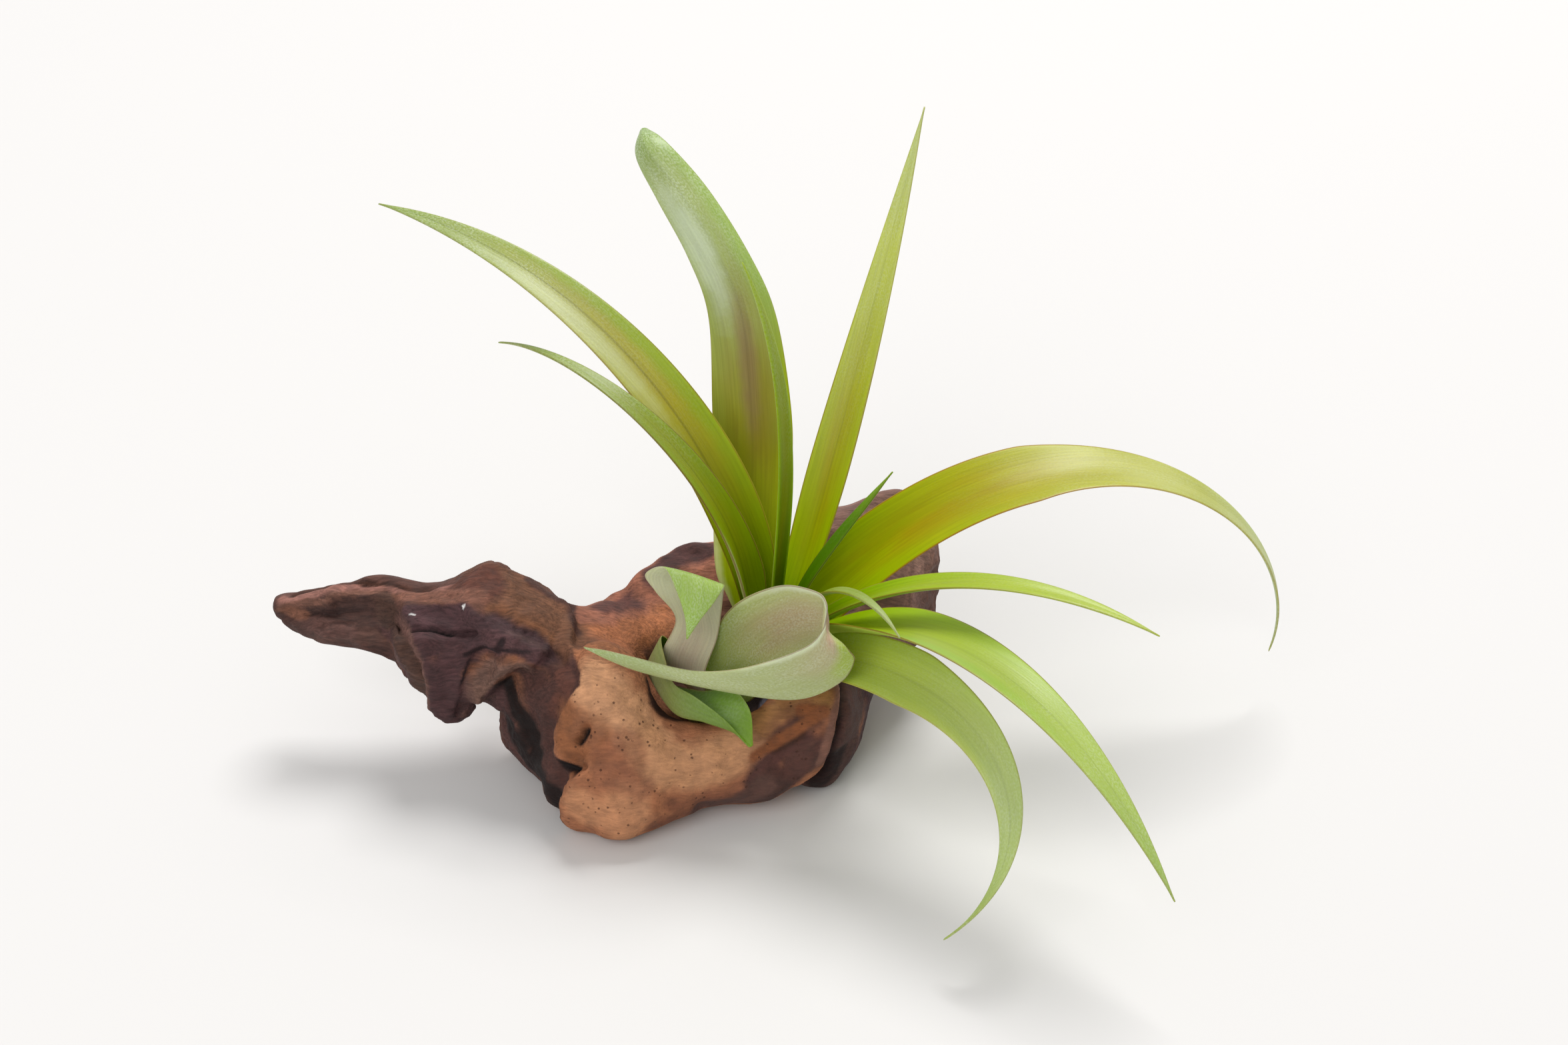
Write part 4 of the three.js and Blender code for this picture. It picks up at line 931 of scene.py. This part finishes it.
    {"colour": "#2e1e20", "path": [(-51, -5.6, 32), (763, 977), (-59.9, -4, 31.4), (-62.5, -4.4, 29.5),
                                   (-63.6, -5, 26.5), (-65, -4.4, 22), (683, 1065)], "reach": 0.45},
    # hollows, the knot and below: painted shade in the hollows, cracks and underneath, with the knot's brown
    # halo and a grey spot
    # painted shade at the edge of the hollow beside the low front leaf
    {"colour": "#3a2118", "path": [(-28.5, -7.5, 26), (-27, -11, 23.5), (-25, -12, 21), (-21, -12.5, 18.5)],
     "reach": 1.8},
    # painted shade inside the hollow that holds the stem
    {"colour": "#2a1c18", "path": [(-17, 2, 16), (-20, -3, 17), (-10, 4, 15), (-12, 8, 14)], "reach": 8.5},
    {"colour": "#787480", "path": [(-6, 1, 14), (-8, -3, 16)], "reach": 2.2},
    {"colour": "#8a5838", "path": [(-43.5, -15.5, 25), (-40, -17.5, 24), (-37.5, -19, 23.5)], "reach": 3.2,
     "strength": 0.5},
    # painted shade in a small hole and in the crevice
    {"colour": "#120a08", "path": [(878, 1100), (871, 1112)], "reach": 0.9},
    {"colour": "#150b0a", "path": [(-45.5, -20, 16), (859, 1158)], "reach": 1.1},
    # painted shade underneath, where the wood meets the floor
    {"colour": "#3a2620", "path": [(-40, -8, -2), (-10, 8, -2)], "reach": 4},
]
whiteSpecks = [(616, 927), (699, 911)]
crumblyPath = [(-62, -4, 33), (-50, -5, 31.5), (-57, -5, 28)]
sandedPath = [(-36, -18, 22), (-33, -22, 10), (-20, -18, 14), (-6, -14, 14), (2, -10, 20)]


def toneWood(points):
    colour = np.zeros((len(points), 3))
    edgeNoise = 0.9 * noiseOver(points, 4.5, octaves=3) + 0.5 * noiseOver(points, 1.4, octaves=2, shift=5.0)
    for tone in woodTones:
        reach = tone["reach"]
        if "towards" in tone:
            side, away = sideOf(points, tone["path"], tone["towards"])
            fade = 1 - smoothStep(0.6 * reach, reach, away)
            amount = smoothStep(-0.4, 0.4, side + 0.35 * edgeNoise) * fade
        else:
            away = nearPath(points, tone["path"]) + min(1.5, 0.22 * reach) * edgeNoise
            amount = 1 - smoothStep(0.55 * reach, 1.25 * reach, away)
        amount = tone.get("strength", 1) * amount
        colour = colour + amount[:, None] * (np.array(paint(tone["colour"])[:3]) - colour)
    mottle = 1 + 0.16 * noiseOver(points, 5, octaves=3, shift=2.0) + 0.1 * noiseOver(points, 1.2, shift=9.0)
    colour = colour * mottle[:, None]
    for speck in whiteSpecks:
        end = (speck[0] + woodMake["speckLength"], speck[1], speck[2])
        away = nearPath(points, [speck, end])
        colour[away < away.min() + woodMake["speckReach"]] = woodMake["speckColour"]
    return colour


def woodFinish():
    finish, tree, skin = newFinish("weathered_wood")
    place = addNode(tree, "TexCoord").outputs["Object"]
    tone = addNode(tree, "Attribute", attribute_name="tone")
    sanded = addNode(tree, "Attribute", attribute_name="sanded").outputs["Fac"]
    sway = addNode(tree, "TexNoise", {"Vector": place, "Scale": 120.0, "Detail": 2.0}).outputs["Color"]
    wavy = addNode(tree, "VectorMath", {0: sway, 1: (0.004, 0.004, 0.004), 2: place},
                   operation="MULTIPLY_ADD").outputs[0]
    grain = addNoise(tree, wavy, 1900, 4, (0.16, 1, 1), 0.65)
    grit = addNoise(tree, place, 3200, 2, roughness=0.7)
    blotch = addNoise(tree, place, 420, 4)
    colour = tone.outputs["Color"]
    # the grain stands out on the rough wood and is faint where it was sanded
    deep = addBand(tree, grain, 0.25, 0.75, 0.6, 1.34)
    faint = addBand(tree, grain, 0.25, 0.75, 0.84, 1.15)
    softer = addMath(tree, "MULTIPLY", sanded, addMath(tree, "SUBTRACT", faint, deep))
    shade = addMath(tree, "ADD", deep, softer)
    colour = addShade(tree, colour, shade)
    shade = addBand(tree, blotch, 0.3, 0.7, 0.86, 1.12)
    colour = addShade(tree, colour, shade)
    # pin holes and dark specks where the surface was sanded
    cells = addNode(tree, "TexVoronoi", {"Vector": place, "Scale": 900.0}, feature="F1")
    rare = addBand(tree, addNoise(tree, place, 500, 2), 0.5, 0.62)
    pins = addMath(tree, "MULTIPLY", addBand(tree, cells.outputs["Distance"], 0.12, 0.28, 1.0, 0.0), rare)
    pins = addMath(tree, "MULTIPLY", pins, sanded)
    colour = addMix(tree, addMath(tree, "MULTIPLY", pins, 0.75), colour, paint("#4a2a1c"))
    tree.links.new(colour, skin.inputs["Base Color"])
    dull = addBand(tree, blotch, 0.3, 0.7, 0.68, 0.88)
    tree.links.new(dull, skin.inputs["Roughness"])
    skin.inputs["Specular IOR Level"].default_value = 0.3
    fine = addMath(tree, "MULTIPLY", grit, 0.35)
    height = addMath(tree, "ADD", addMath(tree, "MULTIPLY", grain, 0.8), fine)
    height = addMath(tree, "SUBTRACT", height, addMath(tree, "MULTIPLY", pins, 0.8))
    bump = addNode(tree, "Bump", {"Height": height, "Strength": 0.8, "Distance": 0.3 * mm})
    tree.links.new(bump.outputs[0], skin.inputs["Normal"])
    return finish


def evaluated(piece):
    # the mesh that a piece's modifiers make
    return bpy.data.meshes.new_from_object(piece.evaluated_get(bpy.context.evaluated_depsgraph_get()))


def makeWood():
    rough = bmesh.new()
    rough.from_mesh(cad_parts["driftwood"].data)
    bmesh.ops.remove_doubles(rough, verts=rough.verts, dist=0.001 * mm)
    mesh = bpy.data.meshes.new("rough wood")
    rough.to_mesh(mesh)
    rough.free()
    block = bpy.data.objects.new("rough wood", mesh)
    bpy.context.collection.objects.link(block)
    grainSize = block.modifiers.new("grain size", "REMESH")
    grainSize.mode = "VOXEL"
    grainSize.voxel_size = woodMake["grainSize"] * mm
    worn = block.modifiers.new("worn", "SMOOTH")
    worn.factor = 0.5
    worn.iterations = woodMake["worn"]
    even = evaluated(block)
    bpy.data.objects.remove(block)
    shape = bmesh.new()
    shape.from_mesh(even)
    shape.normal_update()
    shape.verts.ensure_lookup_table()
    shift = np.array(crownGround)
    points = np.array([corner.co for corner in shape.verts]) / mm - shift
    normals = np.array([corner.normal for corner in shape.verts])
    tones = toneWood(points)
    points = carveWood(points, normals)
    ground = woodMake["groundSnap"]
    points[:, 2] = np.where(points[:, 2] < ground, 0, points[:, 2])
    sandedness = 1 - smoothStep(9, 15, nearPath(points, sandedPath))
    tone = shape.verts.layers.float_color.new("tone")
    sanded = shape.verts.layers.float.new("sanded")
    for corner, point, colour, amount in zip(shape.verts, points, tones, sandedness):
        corner.co = Vector((point + shift) * mm)
        corner[tone] = (*np.clip(colour, 0, 1), 1)
        corner[sanded] = amount
    piece = addPiece("driftwood_fine", shape, "driftwood")
    piece.data.materials.append(woodFinish())
    print("wood made of", len(piece.data.polygons), "faces")


layMarks()
makeWood()


# the stem
def stemFinish():
    finish, tree, skin = newFinish("stem_scales")
    place = addNode(tree, "TexCoord").outputs["Object"]
    blotch = addNoise(tree, place, 500, 4)
    stops = [(0.3, paint("#6b6c34")), (0.55, paint("#8f9154")), (0.75, paint("#a89f78"))]
    colour = addRamp(tree, blotch, stops)
    fibres = addNoise(tree, place, 2600, 3, (1, 1, 0.15))
    shade = addBand(tree, fibres, 0.3, 0.7, 0.75, 1.15)
    colour = addShade(tree, colour, shade)
    tree.links.new(colour, skin.inputs["Base Color"])
    skin.inputs["Roughness"].default_value = 0.75
    bump = addNode(tree, "Bump", {"Height": fibres, "Strength": 0.5, "Distance": 0.2 * mm})
    tree.links.new(bump.outputs[0], skin.inputs["Normal"])
    return finish


def makeStem():
    shape = bmesh.new()
    shape.from_mesh(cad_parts["stem"].data)
    bmesh.ops.remove_doubles(shape, verts=shape.verts, dist=0.001 * mm)
    bmesh.ops.subdivide_edges(shape, edges=shape.edges, cuts=2, use_grid_fill=True)
    bmesh.ops.smooth_vert(shape, verts=shape.verts, factor=0.5,
                          use_axis_x=True, use_axis_y=True, use_axis_z=True)
    shape.normal_update()
    for corner in shape.verts:
        height = (Vector(corner.co) / mm - crownGround - stemForm["foot"]).dot(stemAxis)
        ring = 0.18 * math.sin(2 * math.pi * height / 1.9)  # scars of the older leaves
        ring += 0.15 * noise.noise(Vector(corner.co) / (1.5 * mm))
        corner.co += (ring - 0.1) * mm * corner.normal
    piece = addPiece("stem_fine", shape, "stem")
    piece.data.materials.append(stemFinish())


makeStem()
print("stem made")


# floor, light and camera
floor = {"size": 6.0, "colour": "#dcdad8"}
lights = {
    "window above": {"at": (0.3, 1.15, 2.1), "aim": (0, 0, 0.03), "size": 1.1, "power": 43.0},
    "fill in front": {"at": (-0.7, -1.2, 1.3), "aim": (0, 0, 0.03), "size": 1.4, "power": 13.0},
}


def makeStage():
    shape = bmesh.new()
    bmesh.ops.create_grid(shape, x_segments=1, y_segments=1, size=floor["size"] / 2)
    mesh = bpy.data.meshes.new("floor")
    shape.to_mesh(mesh)
    shape.free()
    slab = bpy.data.objects.new("floor", mesh)
    bpy.context.collection.objects.link(slab)
    finish, tree, skin = newFinish("pale_floor")
    skin.inputs["Base Color"].default_value = paint(floor["colour"])
    skin.inputs["Roughness"].default_value = 0.8
    mesh.materials.append(finish)
    for name, light in lights.items():
        lamp = bpy.data.lights.new(name, "AREA")
        lamp.shape = "DISK"
        lamp.size = light["size"]
        lamp.energy = light["power"]
        holder = bpy.data.objects.new(name, lamp)
        holder.location = light["at"]
        aim = Vector(light["aim"]) - Vector(light["at"])
        holder.rotation_euler = aim.to_track_quat("-Z", "Y").to_euler()
        bpy.context.collection.objects.link(holder)
    world = bpy.data.worlds.new("soft daylight")
    world.use_nodes = True
    sky = world.node_tree.nodes["Background"]
    sky.inputs["Color"].default_value = (1, 1, 1, 1)
    sky.inputs["Strength"].default_value = 0.5
    bpy.context.scene.world = world
    bpy.context.scene.view_settings.view_transform = "Standard"


def makeCamera():
    lens = bpy.data.cameras.new("photo view")
    lens.lens = photoView["lens"]
    lens.sensor_width = photoView["sensor"]
    camera = bpy.data.objects.new("photo view", lens)
    camera.location = (crownGround + Vector(photoView["at"])) * mm
    camera.rotation_euler = (math.radians(90 - photoView["pitchDown"]), 0, 0)
    bpy.context.collection.objects.link(camera)
    bpy.context.scene.camera = camera


makeStage()
makeCamera()
print("stage set")
